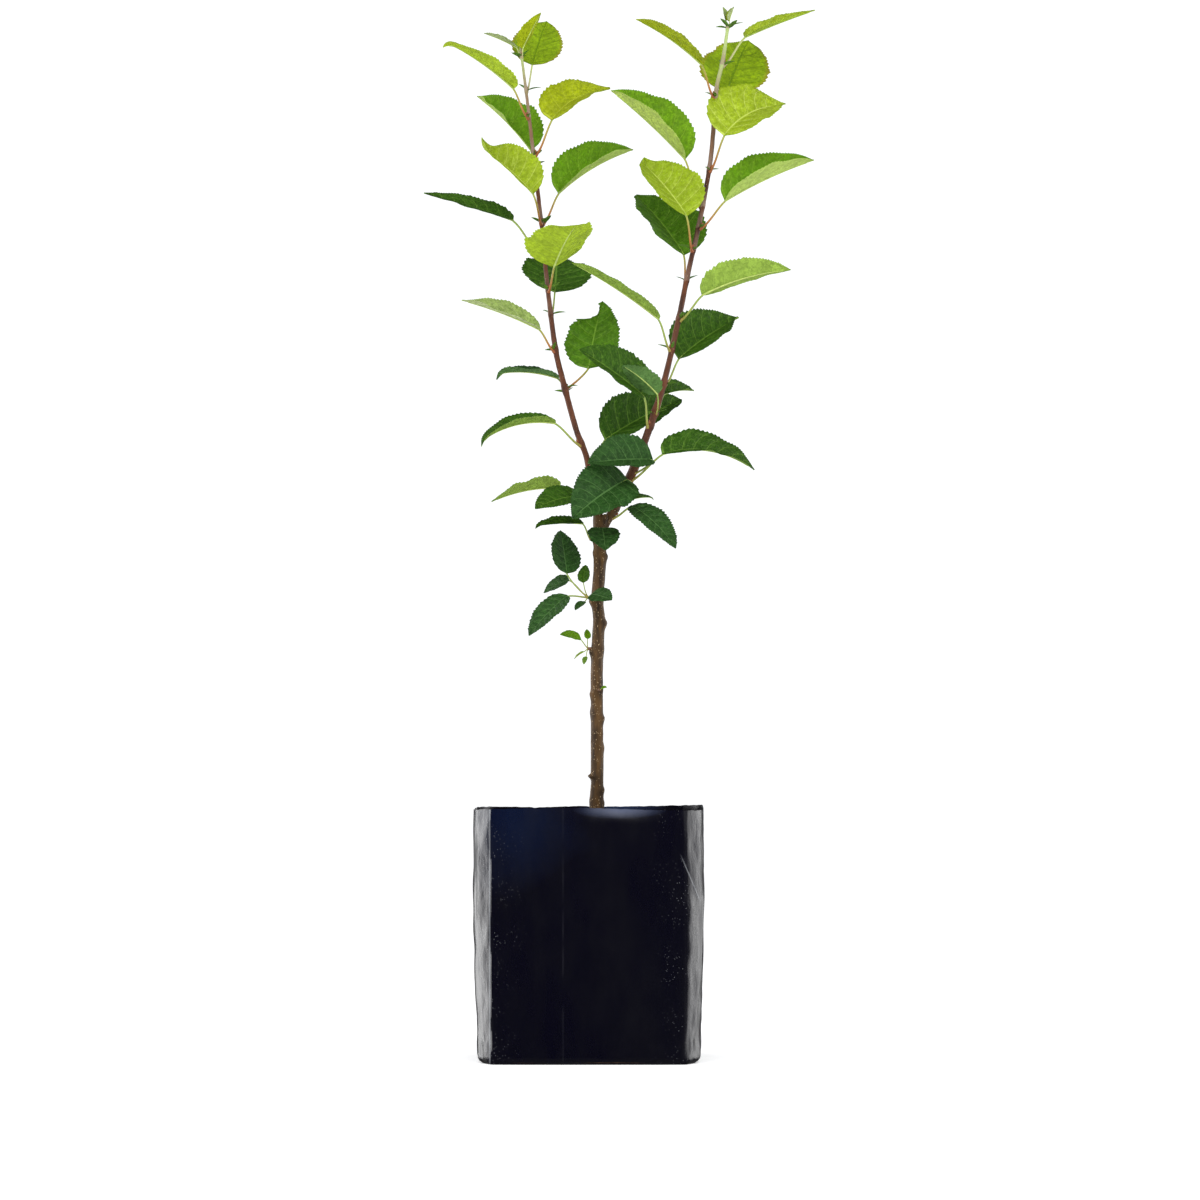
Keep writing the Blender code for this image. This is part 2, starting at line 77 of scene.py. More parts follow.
# Each leaf is its tone, its height on the limb, its stalk (length, bearing, rise), its blade
# (length, width, bearing, rise), how the blade is held (arch, fold, roll), and what else it has.
leftSprays = {
    "left_spray_1": (180, [
        ("pale", 494, (34, 150, 6), (66, 34, -158, -12), (26, 20, 16), {"wave": 1.4}),
        ("deep", 487, (15, -145, 8), (50, 32, -146, -14), (26, 14, -30), {})]),
    "left_spray_2": (46, [
        ("deep", 516, (31, 48, 48), (90, 54, 34, 24), (12, 34, 38),
         {"wave": 1.2, "shade": 0.0})]),
    "left_spray_3": (-147, [
        ("deep", 536, (30, -150, 33), (74, 26, -163, -15), (48, 34, -10), {"curl": -30})]),
    "left_spray_4": (70, [
        ("grass", 584, (28, 24, 36), (70, 47, 69, 60), (16, 8, 6),
         {"bite": (0.83, 1, 0.9, 0.13)}),
        ("blue", 580, (18, 118, 43), (60, 28, -160, 2), (30, 20, -8),
         {"curl": -50, "twist": 50})]),
    "left_spray_5": (-145, [
        ("downy", 617, (23, -145, 46), (76, 32, -160, 18), (14, 26, -28), {"twist": 30})]),
    "left_spray_6": (71, [
        ("deep", 648, (22, 71, 60), (64, 60, 88, 32), (18, 12, 8), {"wave": 1.3})]),
    "left_spray_7": (-70, [
        ("lime", 669, (24, -70, 50), (76, 62, -74, 24), (20, 24, 6), {"wave": 1.5})]),
}
rightSprays = {
    "right_spray_1": (-5, [
        ("blue", 474, (24, -41, 16), (67, 27, -46, -35), (26, 14, 20), {}),
        ("deep", 478, (13, 51, 30), (32, 16, 29, 8), (26, 20, 15), {"curl": -40})]),
    "right_spray_2": (-30, [
        ("blue", 512, (22, -33, 24), (62, 46, -156, -4), (12, 30, -45), {}),
        ("blue", 516, (17, 45, 40), (38, 24, 150, 23), (18, 12, -20), {}),
        ("deep", 506, (36, -24, 33), (88, 42, 16, -9), (52, 26, 30),
         {"wave": 1.2, "shade": 0.0}),
        ("blue", 505, (13, -100, -6), (76, 54, -135, -28), (16, 24, -45), {"wave": 1.6})]),
    "right_spray_3": (-118, [
        ("deep", 551, (27, -115, 65), (72, 50, -165, 34), (14, 28, -48), {})]),
    "right_spray_4": (-40, [
        ("blue", 563, (21, -82, 44), (46, 24, -142, 31), (20, 12, 30), {"wave": 1.3}),
        ("deep", 563, (19, 43, 56), (34, 23, 38, 6), (24, 34, 28), {})]),
    "right_spray_5": (38, [
        ("deep", 588, (27, 38, 53), (76, 57, 35, 30), (14, 38, 34),
         {"twist": -25, "shade": 1.0})]),
    "right_spray_6": (-134, [
        ("pale", 618, (30, -134, 57), (92, 36, -165, 31), (12, 20, -8), {"twist": 25})]),
    "right_spray_7": (-26, [
        ("pale", 645, (29, -26, 41), (84, 37, -19, 14), (22, 36, -38), {})]),
    "right_spray_8": (98, [
        ("grass", 678, (26, 98, 60), (82, 68, 134, 43), (14, 26, -8),
         {"bite": (0.72, -1, 0.26, 0.13), "wave": 1.3, "shade": 0.0})]),
}
trunkSprays = {
    "trunk_spray_left": (-159, [
        ("deep", 452, (20, -159, 42), (45, 18, -162, -3), (12, 22, -25), {"curl": -35})]),
    "trunk_spray_front": (-90, [
        ("blue", 456, (11, -74, 30), (32, 28, -84, -39), (16, 10, 0), {"wave": 2.0})]),
    "trunk_spur_upper": (-170, [
        ("blue", 401, (34, 180, 38), (44, 28, 105, 60), (12, 12, 14), {}),
        ("blue", 400, (27, -165, 6), (52, 27, -152, -43), (18, 12, -22), {}),
        ("blue", 402, (29, 168, 30), (26, 18, 165, -26), (24, 14, -40), {}),
        ("deep", 403, (17, 165, 40), (18, 11, 75, 62), (12, 16, 0), {}),
        ("blue", 400, (12.5, -118, 17), (25, 20, -42, -12), (16, 10, 34), {}),
        ("blue", 399, (13, -150, -6), (14, 9, -135, -34), (16, 14, -10), {})]),
    "trunk_spur_lower": (-170, [
        ("mid", 358, (16, 172, 26), (20, 14, -160, 11), (16, 16, -34), {}),
        ("mid", 357, (12, 160, 42), (10, 6, 100, 60), (10, 14, 0), {}),
        ("mid", 356, (12, -165, -8), (11, 7, 170, -38), (22, 16, 0), {}),
        ("pale", 354, (12, -150, -20), (8, 5, -120, -62), (16, 14, 0), {})]),
    "trunk_bud_leaf": (-72, [
        ("mid", 321, (10.5, -70, 6), (6, 5, -30, 8), (18, 14, 30), {})]),
}
leftShoots = {
    "left_shoot_middle": (None, [
        ("lime", 728, (33, -105, 42), (80, 48, 142, 36), (14, 40, -19),
         {"curl": 60, "twist": 40}),
        ("mid", 727, (32, 37, 55), (88, 50, 32, 28), (22, 48, 24), {}),
        ("deep", 698, (44, 155, 47), (84, 31, 168, 17), (6, 16, -20), {})]),
    "left_shoot_top": (None, [
        ("gold", 872, (6, -73, 60), (37, 19, -43, 53), (8, 28, 0), {}),
        ("olive", 842, (26, 66, 60), (58, 43, 72, 46), (14, 10, 16), {}),
        ("downy", 871, (10, 124, 52), (35, 15, 157, 23), (12, 18, 14), {}),
        ("lime", 819, (28, -143, 55), (82, 36, -146, 27), (18, 26, -14), {"curl": -40}),
        ("mid", 777, (22, 100, 39), (88, 50, 133, 36), (14, 42, -8), {"wave": 1.3}),
        ("gold", 786, (34, -30, 58), (72, 50, 36, 24), (50, 24, 18), {"curl": 25})]),
}
rightShoots = {
    "right_shoot_middle": (None, [
        ("mid", 743, (46, 140, 65), (92, 56, 163, 42), (10, 52, -20), {}),
        ("mid", 725, (32, -15, 43), (92, 50, 20, 24), (12, 52, 21), {}),
        ("lime", 705, (32, -112, 60), (76, 58, 135, 42), (14, 30, -16), {"curl": 40})]),
    "right_shoot_top": (None, [
        ("lime", 867, (34, 33, 46.5), (70, 30, 17, 21), (4, 20, 8), {}),
        ("gold", 839, (30, -140, 60), (75, 34, -153, 29), (18, 28, -24), {}),
        ("olive", 824, (27, 52, 47), (73, 59, 68, 43), (14, 6, 18), {"wave": 1.5}),
        ("lime", 775, (34, -50, 55), (73, 65, 32, 24), (50, 26, 32),
         {"curl": 14, "twist": -14}),
        ("downy", 899, (6, 130, 68), (13, 8, 140, 74), (14, 26, 0), {}),
        ("gold", 899, (5, -20, 74), (12, 7, -40, 78), (12, 30, 0), {}),
        ("downy", 900, (5, -60, 62), (13, 7, -30, 68), (14, 24, 0), {})]),
}


def heading(bearing, rise):
    turn = math.radians(bearing)
    climb = math.radians(rise)
    level = math.cos(climb)
    return Vector((math.cos(turn) * level, math.sin(turn) * level, math.sin(climb)))


def between(table, place):
    for (start, first), (end, second) in zip(table, table[1:]):
        if place <= end:
            share = max(0.0, (place - start) / (end - start))
            return first + (second - first) * share
    return table[-1][1]


def placed(name, data):
    made = bpy.data.objects.new(name, data)
    bpy.context.scene.collection.objects.link(made)
    return made


def settled(host, name):
    # the plain mesh that an object's modifiers make, once the object itself is cleared away
    bpy.context.view_layer.update()
    seen = host.evaluated_get(bpy.context.evaluated_depsgraph_get())
    mesh = bpy.data.meshes.new_from_object(seen)
    mesh.name = name
    host.modifiers.clear()
    bpy.data.objects.remove(host)
    return mesh


def meshOf(name, work):
    made = bpy.data.meshes.new(name)
    work.to_mesh(made)
    work.free()
    return made


def strakes(work, rings):
    # the faces between one ring of points and the next, each ring anticlockwise from above
    for low, high in zip(rings, rings[1:]):
        for number in range(len(low)):
            after = (number + 1) % len(low)
            work.faces.new((low[number], low[after], high[after], high[number]))


def smoothPath(foot, stretches, step):
    # an even curve through the ends of the stretches
    points = [Vector(foot)]
    for length, right, away in stretches:
        x = length * math.sin(math.radians(right))
        y = length * math.sin(math.radians(away))
        points.append(points[-1] + Vector((x, y, math.sqrt(length ** 2 - x ** 2 - y ** 2))))
    ends = [points[0] * 2 - points[1]] + points + [points[-1] * 2 - points[-2]]
    line = []
    for before, start, end, after in zip(ends, ends[1:], ends[2:], ends[3:]):
        count = max(2, round((end - start).length / step))
        for number in range(count):
            t = number / count
            bend = (before * -1 + start * 3 - end * 3 + after) * t ** 3
            bend += (before * 2 - start * 5 + end * 4 - after) * t ** 2
            line.append(start + (bend + (end - before) * t) * 0.5)
    return line + [points[-1]]


class Limb:
    # a limb's centre line and its thickness, both read by height
    def __init__(self, foot, stretches, girth):
        self.line = smoothPath(foot, stretches, limbs["step"])
        self.foot = self.line[0].z
        self.top = self.line[-1].z
        self.girth = girth

    def centre(self, height):
        for low, high in zip(self.line, self.line[1:]):
            if height <= high.z:
                return low.lerp(high, (height - low.z) / (high.z - low.z))
        return self.line[-1].copy()

    def radius(self, height):
        return between(self.girth, height - self.foot) / 2

    def axis(self, height):
        return (self.centre(height + 3) - self.centre(height - 3)).normalized()

    def outward(self, height, bearing):
        way = heading(bearing, 12)
        along = self.axis(height)
        return (way - along * way.dot(along)).normalized()

    def stations(self, bottom, top, step):
        count = max(2, round((top - bottom) / step))
        heights = [bottom + (top - bottom) * number / count for number in range(count + 1)]
        return [(self.centre(height), self.radius(height)) for height in heights]


trunk = Limb((*limbs["trunkFoot"], limbs["soil"]), limbs["trunk"], limbs["trunkGirth"])
leftLeader = Limb(trunk.line[-1], limbs["left"], limbs["leftGirth"])
rightLeader = Limb(limbs["rightFoot"], limbs["right"], limbs["rightGirth"])


# shader maths: a socket that takes part in Python sums, and the tree that it lives in
class Reading:
    def __init__(self, kit, socket):
        self.kit = kit
        self.socket = socket

    def join(self, operation, first, second):
        return self.kit.node("ShaderNodeMath", {"operation": operation}, [first, second])

    def __add__(self, other):
        return self.join("ADD", self, other)

    def __radd__(self, other):
        return self.join("ADD", other, self)

    def __sub__(self, other):
        return self.join("SUBTRACT", self, other)

    def __rsub__(self, other):
        return self.join("SUBTRACT", other, self)

    def __mul__(self, other):
        return self.join("MULTIPLY", self, other)

    def __rmul__(self, other):
        return self.join("MULTIPLY", other, self)

    def __pow__(self, other):
        return self.join("POWER", self, other)


class Finish:
    # a Principled material and the nodes that feed it
    def __init__(self, name, constants):
        self.material = bpy.data.materials.new(name)
        self.material.use_nodes = True
        self.tree = self.material.node_tree
        self.shader = self.tree.nodes["Principled BSDF"]
        for key, value in constants.items():
            self.shader.inputs[key].default_value = value

    def node(self, kind, settings, values, output=0):
        made = self.tree.nodes.new(kind)
        for key, value in settings.items():
            if key == "stops":
                ramp = made.color_ramp
                while len(ramp.elements) < len(value):
                    ramp.elements.new(0.5)
                for element, (place, colour) in zip(ramp.elements, value):
                    element.position = place
                    element.color = (*colour, 1.0)
            else:
                setattr(made, key, value)
        pairs = values.items() if isinstance(values, dict) else enumerate(values)
        for key, value in pairs:
            if isinstance(value, Reading):
                self.tree.links.new(value.socket, made.inputs[key])
            elif value is not None:
                made.inputs[key].default_value = value
        return Reading(self, made.outputs[output])

    def spot(self):
        return self.node("ShaderNodeTexCoord", {}, [], "Object")

    def place(self, scale=(1, 1, 1)):
        return self.node("ShaderNodeMapping", {}, {"Vector": self.spot(), "Scale": scale})

    def part(self, vector, axis):
        return self.node("ShaderNodeSeparateXYZ", {}, [vector], axis)

    def height(self):
        return self.part(self.spot(), "Z")

    def attribute(self, name):
        return self.node("ShaderNodeAttribute", {"attribute_name": name}, [], "Fac")

    def between(self, operation, first, second):
        # one number from two vectors
        return self.node("ShaderNodeVectorMath", {"operation": operation}, [first, second],
                         "Value")

    def noise(self, scale, detail=3.0, stretch=(1, 1, 1), roughness=0.5):
        return self.node("ShaderNodeTexNoise", {},
                         {"Vector": self.place(stretch), "Scale": scale, "Detail": detail,
                          "Roughness": roughness})

    def plain(self, operation, value):
        return self.node("ShaderNodeMath", {"operation": operation}, [value])

    def cells(self, scale, feature, stretch=(1, 1, 1)):
        return self.node("ShaderNodeTexVoronoi", {"feature": feature},
                         {"Vector": self.place(stretch), "Scale": scale})

    def ramp(self, factor, stops):
        return self.node("ShaderNodeValToRGB", {"stops": stops}, {"Fac": factor})

    def span(self, value, low, high, toLow=0.0, toHigh=1.0):
        return self.node("ShaderNodeMapRange", {"clamp": True},
                         {"Value": value, "From Min": low, "From Max": high, "To Min": toLow,
                          "To Max": toHigh})

    def line(self, value, half, edge):
        # 1 where the value is within half of nought, and 0 past the edge
        return self.span(self.plain("ABSOLUTE", value), half, edge, 1.0, 0.0)

    def blend(self, factor, first, second, mode="MIX"):
        made = self.tree.nodes.new("ShaderNodeMix")
        made.data_type = "RGBA"
        made.blend_type = mode
        sockets = (made.inputs["Factor"], made.inputs[6], made.inputs[7])
        for socket, value in zip(sockets, (factor, first, second)):
            if isinstance(value, Reading):
                self.tree.links.new(value.socket, socket)
            elif isinstance(value, float):
                socket.default_value = value
            else:
                socket.default_value = (*value, 1.0)
        return Reading(self, made.outputs[2])

    def wear(self, colour=None, roughness=None, relief=None, strength=0.3, depth=0.0005):
        if colour is not None:
            self.tree.links.new(colour.socket, self.shader.inputs["Base Color"])
        if roughness is not None:
            self.tree.links.new(roughness.socket, self.shader.inputs["Roughness"])
        if relief is not None:
            bump = self.node("ShaderNodeBump", {},
                             {"Strength": strength, "Distance": depth, "Height": relief})
            self.tree.links.new(bump.socket, self.shader.inputs["Normal"])
        return self.material


def screen(red, green, blue):
    # a colour as a screen shows it, 0 to 255, made linear
    shares = [value / 255 for value in (red, green, blue)]
    return tuple(share / 12.92 if share <= 0.04045 else ((share + 0.055) / 1.055) ** 2.4
                 for share in shares)


def dimmed(colour, share):
    return tuple(value * share for value in colour)


# leaf tones: upper face, underside and veins, as a screen shows them, and how plainly the
# veins show on the upper face
leafTones = {
    "gold": ((156, 172, 2), (170, 186, 22), (194, 204, 66), 0.6),
    "lime": ((160, 186, 22), (168, 196, 46), (208, 224, 106), 0.75),
    "olive": ((134, 166, 10), (160, 190, 34), (88, 124, 14), 0.6),
    "pale": ((92, 136, 22), (148, 180, 72), (180, 204, 104), 0.5),
    "mid": ((110, 162, 2), (184, 210, 98), (152, 192, 60), 0.6),
    "grass": ((78, 126, 6), (150, 184, 84), (134, 176, 60), 0.6),
    "deep": ((50, 92, 8), (126, 160, 62), (116, 156, 58), 0.72),
    "blue": ((40, 80, 28), (94, 134, 70), (100, 142, 78), 0.68),
    "downy": ((150, 176, 92), (182, 200, 138), (200, 214, 150), 0.4),
}
leafFinish = {
    "roughness": 0.48, "gloss": 0.13, "undersideRoughness": 0.7, "undersideGloss": 0.1,
    "undersideVein": 0.75, "mottle": 0.2,
    "cloud": 60.0, "fine": 700.0, "quilt": 330.0,                   # the noises' scales
    "duller": (0.8, 0.84, 0.86), "brighter": (1.12, 1.06, 1.0),     # one leaf against the next
    "veinHalf": 0.012, "veinEdge": 0.04,        # shares of the space between two side veins
    "ribHalf": 0.014, "ribEdge": 0.04,          # shares of the half width
    "wander": 0.08, "wanderScale": 160.0,       # how the side veins stray
    "faintest": 0.25, "faintScale": 45.0, "rimFade": 0.75,      # and how they fade
    "halo": (0.05, 0.5, 0.12),                  # paler beside a vein: its edge and its share
    "net": (11.0, 5.0, 1.0), "netEdge": 0.09, "netShare": 0.34,
    "quiltDark": 0.56, "quiltShare": 0.75, "fineDark": 0.55, "fineShare": 0.4,
    "rimFrom": 0.86, "rimShare": 0.45,
    "uneven": (-0.07, 0.09),                    # how much the roughness changes
    # the relief's strength and depth, and the share of it that each of its parts has
    "relief": (0.6, 0.0011), "veinRelief": 0.8, "netRelief": 0.35, "quiltRelief": 0.8,
    "fineRelief": 0.3,
    "edge": {"olive": (150, 96, 44)},
}


def leafMaterial(name, colour, vein, share, roughness, gloss, raised, edge):
    # the leaf's own map gives the place across it, and a whole number at each side vein;
    # veins are sunk where raised is below nought
    finish = Finish(name, {"Specular IOR Level": gloss})
    chart = finish.node("ShaderNodeUVMap", {"uv_map": "veins"}, [])
    phase = finish.part(chart, "Y")
    cloud = finish.noise(leafFinish["cloud"])
    fine = finish.noise(leafFinish["fine"])
    quilt = finish.noise(leafFinish["quilt"], 4.0, roughness=0.6)
    away = finish.plain("ABSOLUTE", finish.part(chart, "X") * 2 - 1)
    # the side veins and the midrib
    wander = (finish.noise(leafFinish["wanderScale"], 2.0) - 0.5) * leafFinish["wander"]
    gap = finish.plain("ABSOLUTE", finish.plain("FRACT", phase + wander + 0.5) - 0.5)
    side = finish.span(gap, leafFinish["veinHalf"], leafFinish["veinEdge"], 1.0, 0.0)
    side = side * (1 - away ** 3 * leafFinish["rimFade"])
    side = side * finish.span(finish.noise(leafFinish["faintScale"], 2.0), 0.3, 0.62,
                              leafFinish["faintest"], 1.0)
    rib = finish.span(away, leafFinish["ribHalf"], leafFinish["ribEdge"], 1.0, 0.0)
    lines = finish.node("ShaderNodeMath", {"operation": "MAXIMUM"}, [side, rib])
    # the fine net between them
    grid = finish.node("ShaderNodeMapping", {}, {"Vector": chart, "Scale": leafFinish["net"]})
    cells = finish.node("ShaderNodeTexVoronoi", {"feature": "DISTANCE_TO_EDGE"},
                        {"Vector": grid, "Scale": 1.0})
    net = finish.span(cells, 0.0, leafFinish["netEdge"], 1.0, 0.0)
    # the blade's own green, which changes a little from leaf to leaf and across each
    base = finish.blend(finish.span(cloud, 0.32, 0.68), dimmed(colour, 1 - leafFinish["mottle"]),
                        dimmed(colour, 1 + leafFinish["mottle"]))
    base = finish.blend(finish.attribute("shade"),
                        finish.blend(1.0, base, leafFinish["duller"], "MULTIPLY"),
                        finish.blend(1.0, base, leafFinish["brighter"], "MULTIPLY"))
    halo = finish.span(gap, *leafFinish["halo"], 0.0)
    base = finish.blend(halo + net * leafFinish["netShare"], base, vein)
    base = finish.blend(finish.span(quilt, 0.42, 0.64, 0.0, leafFinish["quiltShare"]), base,
                        dimmed(colour, leafFinish["quiltDark"]))
    base = finish.blend(finish.span(fine, 0.35, 0.7, 0.0, leafFinish["fineShare"]), base,
                        dimmed(colour, leafFinish["fineDark"]))
    base = finish.blend(finish.span(away, leafFinish["rimFrom"], 1.0, 0.0,
                                    leafFinish["rimShare"]), base, edge)
    base = finish.blend(lines * share, base, vein)
    low, high = leafFinish["uneven"]
    rough = finish.span(cloud, 0.3, 0.7, roughness + low, roughness + high)
    relief = lines * (leafFinish["veinRelief"] * raised) + net * (leafFinish["netRelief"] * raised)
    relief = relief + quilt * leafFinish["quiltRelief"] + fine * leafFinish["fineRelief"]
    return finish.wear(base, rough, relief, *leafFinish["relief"])


blades = {
    "thickness": 0.34, "seed": 7,
    "toothPitch": 2.5,
    "toothDepth": 2.3,          # how far a tooth stands out on a full-sized leaf
    "toothUneven": (0.7, 1.25), "toothIn": 14,      # the teeth fade inwards by this power
    "leastTeeth": 6, "rowsPerTooth": 3,
    "veins": 7, "fewVeins": 5,  # side veins in each half, and in one of a leaf that is small
    "smallUnder": 36.0, "fullFrom": 62.0,           # lengths of a small and a full-sized leaf
    "veinFrom": 0.05, "veinRun": 0.88, "veinCrowd": 1.08, "veinStray": 0.012,
    "stagger": 0.45,            # how far the two halves' veins are out of step
    "ribWidth": 1.0, "mostRib": 0.05, "ribEase": 0.003,
    "sweep": 0.22,              # how far forward the side veins run, as a share of the length
    "pillow": 0.85,             # height of the leaf between its veins
    "across": [0.0, 0.1, 0.24, 0.4, 0.56, 0.71, 0.84, 0.93, 0.975, 1.0],
    "shoulder": 0.5, "taper": 0.86,                 # how round the base is, and how fine the tip
    "halfWidth": 0.52,          # teeth and all
    "biteWobble": (0.16, 90.0), # how uneven the edge of a missing piece is
    "wave": 0.7, "waveAt": 40.0, "waves": (15.0, 27.0),     # the margin's waves
    "places": 161, "curlFrom": 0.8, "twistFrom": 0.6,
}


def easing(value):
    value = np.clip(value, 0.0, 1.0)
    return value * value * (3 - 2 * value)


def halfWidth(along):
    # an egg-shaped outline that is widest before its middle and ends in a point
    along = np.clip(along, 0.0, 1.0)
    low, high = blades["shoulder"], blades["taper"]
    widest = low / (low + high)
    most = widest ** low * (1 - widest) ** high
    return np.maximum(0.012, along ** low * (1 - along) ** high / most)


class Blade:
    # a leaf blade from its base: an arched midrib with two folded halves
    def __init__(self, base, size, hold, extras):
        self.base = np.array(base)
        self.length, self.width, self.bearing, self.rise = size
        arch, self.fold, self.roll = hold
        self.extras = extras
        self.places = np.linspace(0, 1, blades["places"])
        bend = math.radians(max(arch, 0.5))
        curl = math.radians(extras.get("curl", 0)) * self.tipward(self.places, blades["curlFrom"])
        self.pitch = math.radians(self.rise) + bend / 2 - bend * self.places + curl
        step = self.length / (len(self.places) - 1)
        mid = (self.pitch[1:] + self.pitch[:-1]) / 2
        self.out = np.concatenate([[0], np.cumsum(np.cos(mid)) * step])
        self.up = np.concatenate([[0], np.cumsum(np.sin(mid)) * step])

    def tipward(self, along, start):
        # nothing before start, and all of it at the tip
        return easing((along - start) / (1 - start))

    def frame(self, along):
        # the midrib's point, and the ways it runs, spreads and faces there
        turn = math.radians(self.bearing)
        level = np.array((math.cos(turn), math.sin(turn), 0.0))
        rise = np.array((0.0, 0.0, 1.0))
        along = np.asarray(along, float)
        pitch = np.interp(along, self.places, self.pitch)[..., None]
        out = np.interp(along, self.places, self.out)[..., None]
        up = np.interp(along, self.places, self.up)[..., None]
        point = self.base + level * out + rise * up
        run = level * np.cos(pitch) + rise * np.sin(pitch)
        face = rise * np.cos(pitch) - level * np.sin(pitch)
        side = np.cross(face, run)
        twist = math.radians(self.extras.get("twist", 0))
        twist = twist * self.tipward(along, blades["twistFrom"])
        roll = (math.radians(self.roll) + twist)[..., None]
        return point, run, side * np.cos(roll) + face * np.sin(roll), \
            face * np.cos(roll) - side * np.sin(roll)

    def grid(self, chance):
        # rows follow the side veins, and columns run from one margin to the other
        teeth = max(blades["leastTeeth"], round(self.length / blades["toothPitch"]))
        veins = blades["veins"] if self.length > blades["smallUnder"] else blades["fewVeins"]
        rows = np.linspace(0, 1, teeth * blades["rowsPerTooth"] + 1)
        rib = min(blades["mostRib"], blades["ribWidth"] / self.width)
        right = [rib] + [rib + (1 - rib) * share for share in blades["across"][1:]]
        columns = np.array([-share for share in reversed(right)] + right)
        t, c = np.meshgrid(rows, columns, indexing="ij")
        away = np.abs(c)
        bend = 0.5 * away + 0.5 * away ** 2.2
        along = np.clip(t + blades["sweep"] * 4 * t * (1 - t) * bend, 0, 1)
        # where the side veins leave the midrib, counted in whole numbers on each half
        homes = [blades["veinFrom"] + blades["veinRun"] * (number / veins) ** blades["veinCrowd"]
                 for number in range(veins)]
        stray = blades["veinStray"]
        marks = [[home + chance.uniform(-stray, stray) for home in [-0.03] + homes] + [1.06]
                 for _ in range(2)]
        count = np.arange(veins + 2)
        late = blades["stagger"] * blades["veinRun"] / veins
        left = np.interp(t, marks[0], count)
        rightPhase = np.interp(t - late, marks[1], count)
        phase = np.where(c < 0, left, rightPhase)
        size = min(1.0, self.length / blades["fullFrom"])
        saw = (t * teeth) % 1.0
        each = np.array([chance.uniform(*blades["toothUneven"]) for _ in range(2 * teeth + 2)])
        number = np.minimum((t * teeth).astype(int), teeth) + np.where(c > 0, teeth + 1, 0)
        fringe = blades["toothDepth"] * size * (saw - 0.35) * each[number]
        fringe = fringe * away ** blades["toothIn"]
        fringe = fringe * np.clip(along * 9, 0, 1) * np.clip((1 - along) * 12, 0.15, 1)
        reach = self.width * blades["halfWidth"] * halfWidth(along) + fringe
        if "bite" in self.extras:
            place, side, share, spread = self.extras["bite"]
            uneven, pace = blades["biteWobble"]
            wobble = 1 + uneven * np.sin(along * pace)
            hollow = share * np.exp(-((along - place) / (spread * wobble)) ** 4)
            reach = reach * np.where(c * side > 0, 1 - hollow, 1.0)
        point, _, side, face = self.frame(along)
        fold = math.radians(self.fold)
        bowed = np.sqrt(away ** 2 + blades["ribEase"]) - math.sqrt(blades["ribEase"])
        spread = side * (c * math.cos(fold) * reach)[..., None]
        lift = bowed * math.sin(fold) * reach
        share = phase - np.floor(phase)
        pillow = np.sin(np.pi * share) ** 0.7 * np.sin(np.pi * np.clip(away, 0, 1) ** 0.8)
        lift = lift + pillow * blades["pillow"] * size
        start = chance.uniform(0, 6.28)
        swell = self.extras.get("wave", blades["wave"]) * self.width / blades["waveAt"]
        long, short = blades["waves"]
        ripple = np.sin(along * long + start)
        ripple = ripple + 0.6 * np.sin(along * short + start * 2 + c * 1.5)
        lift = lift + swell * ripple * away ** 2 * np.sin(np.pi * along) * 0.8
        middle = point + spread + face * lift[..., None]
        slant = np.where(c < 0, 1.0, -1.0)[..., None] * np.minimum(1, away * 12)[..., None]
        normal = face * math.cos(fold) + side * slant * math.sin(fold)
        return middle, normal, np.stack([c / 2 + 0.5, phase], -1)


class Heap:
    # gathers closed shells that are joined into one piece
    def __init__(self):
        self.points = []
        self.faces = []
        self.looks = []
        self.charts = []
        self.shades = []
        self.count = 0

    def add(self, points, faces, looks, chart, shade):
        self.points.append(points)
        self.faces.append(faces + self.count)
        self.looks.append(looks)
        self.charts.append(chart)
        self.shades.append(np.full(len(points), shade))
        self.count += len(points)

    def sheet(self, middle, normal, chart, thickness, shade):
        rows, columns = middle.shape[:2]
        half = normal * (thickness / 2)
        upper = (middle + half).reshape(-1, 3)
        lower = (middle - half).reshape(-1, 3)
        index = np.arange(rows * columns).reshape(rows, columns)
        corners = (index[:-1, :-1], index[1:, :-1], index[1:, 1:], index[:-1, 1:])
        top = np.stack(corners, -1).reshape(-1, 4)
        rim = np.concatenate([index[:, 0], index[-1, 1:], index[-2::-1, -1], index[0, -2:0:-1]])
        after = np.roll(rim, -1)
        total = rows * columns
        edge = np.stack([after, rim, rim + total, after + total], -1)
        looks = np.concatenate([np.zeros(len(top), int), np.ones(len(top), int),
                                np.zeros(len(edge), int)])
        flat = chart.reshape(-1, 2)
        self.add(np.concatenate([upper, lower]),
                 np.concatenate([top, top[:, ::-1] + total, edge]), looks,
                 np.concatenate([flat, flat]), shade)

    def mesh(self, name, materials):
        made = bpy.data.meshes.new(name)
        faces = np.concatenate(self.faces)
        made.from_pydata((np.concatenate(self.points) * mm).tolist(), [], faces.tolist())
        for material in materials:
            made.materials.append(material)
        made.polygons.foreach_set("material_index", np.concatenate(self.looks).astype(np.int32))
        chart = np.concatenate(self.charts)[faces.ravel()]
        made.uv_layers.new(name="veins").data.foreach_set("uv", chart.ravel())
        shade = made.attributes.new("shade", "FLOAT", "POINT")
        shade.data.foreach_set("value", np.concatenate(self.shades))
        made.shade_smooth()
        made.set_sharp_from_angle(angle=math.radians(70))
        return made


def piece(name, mesh, nodes=()):
    made = placed(name, mesh)
    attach(made, "root")
    if nodes:
        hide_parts(*nodes)


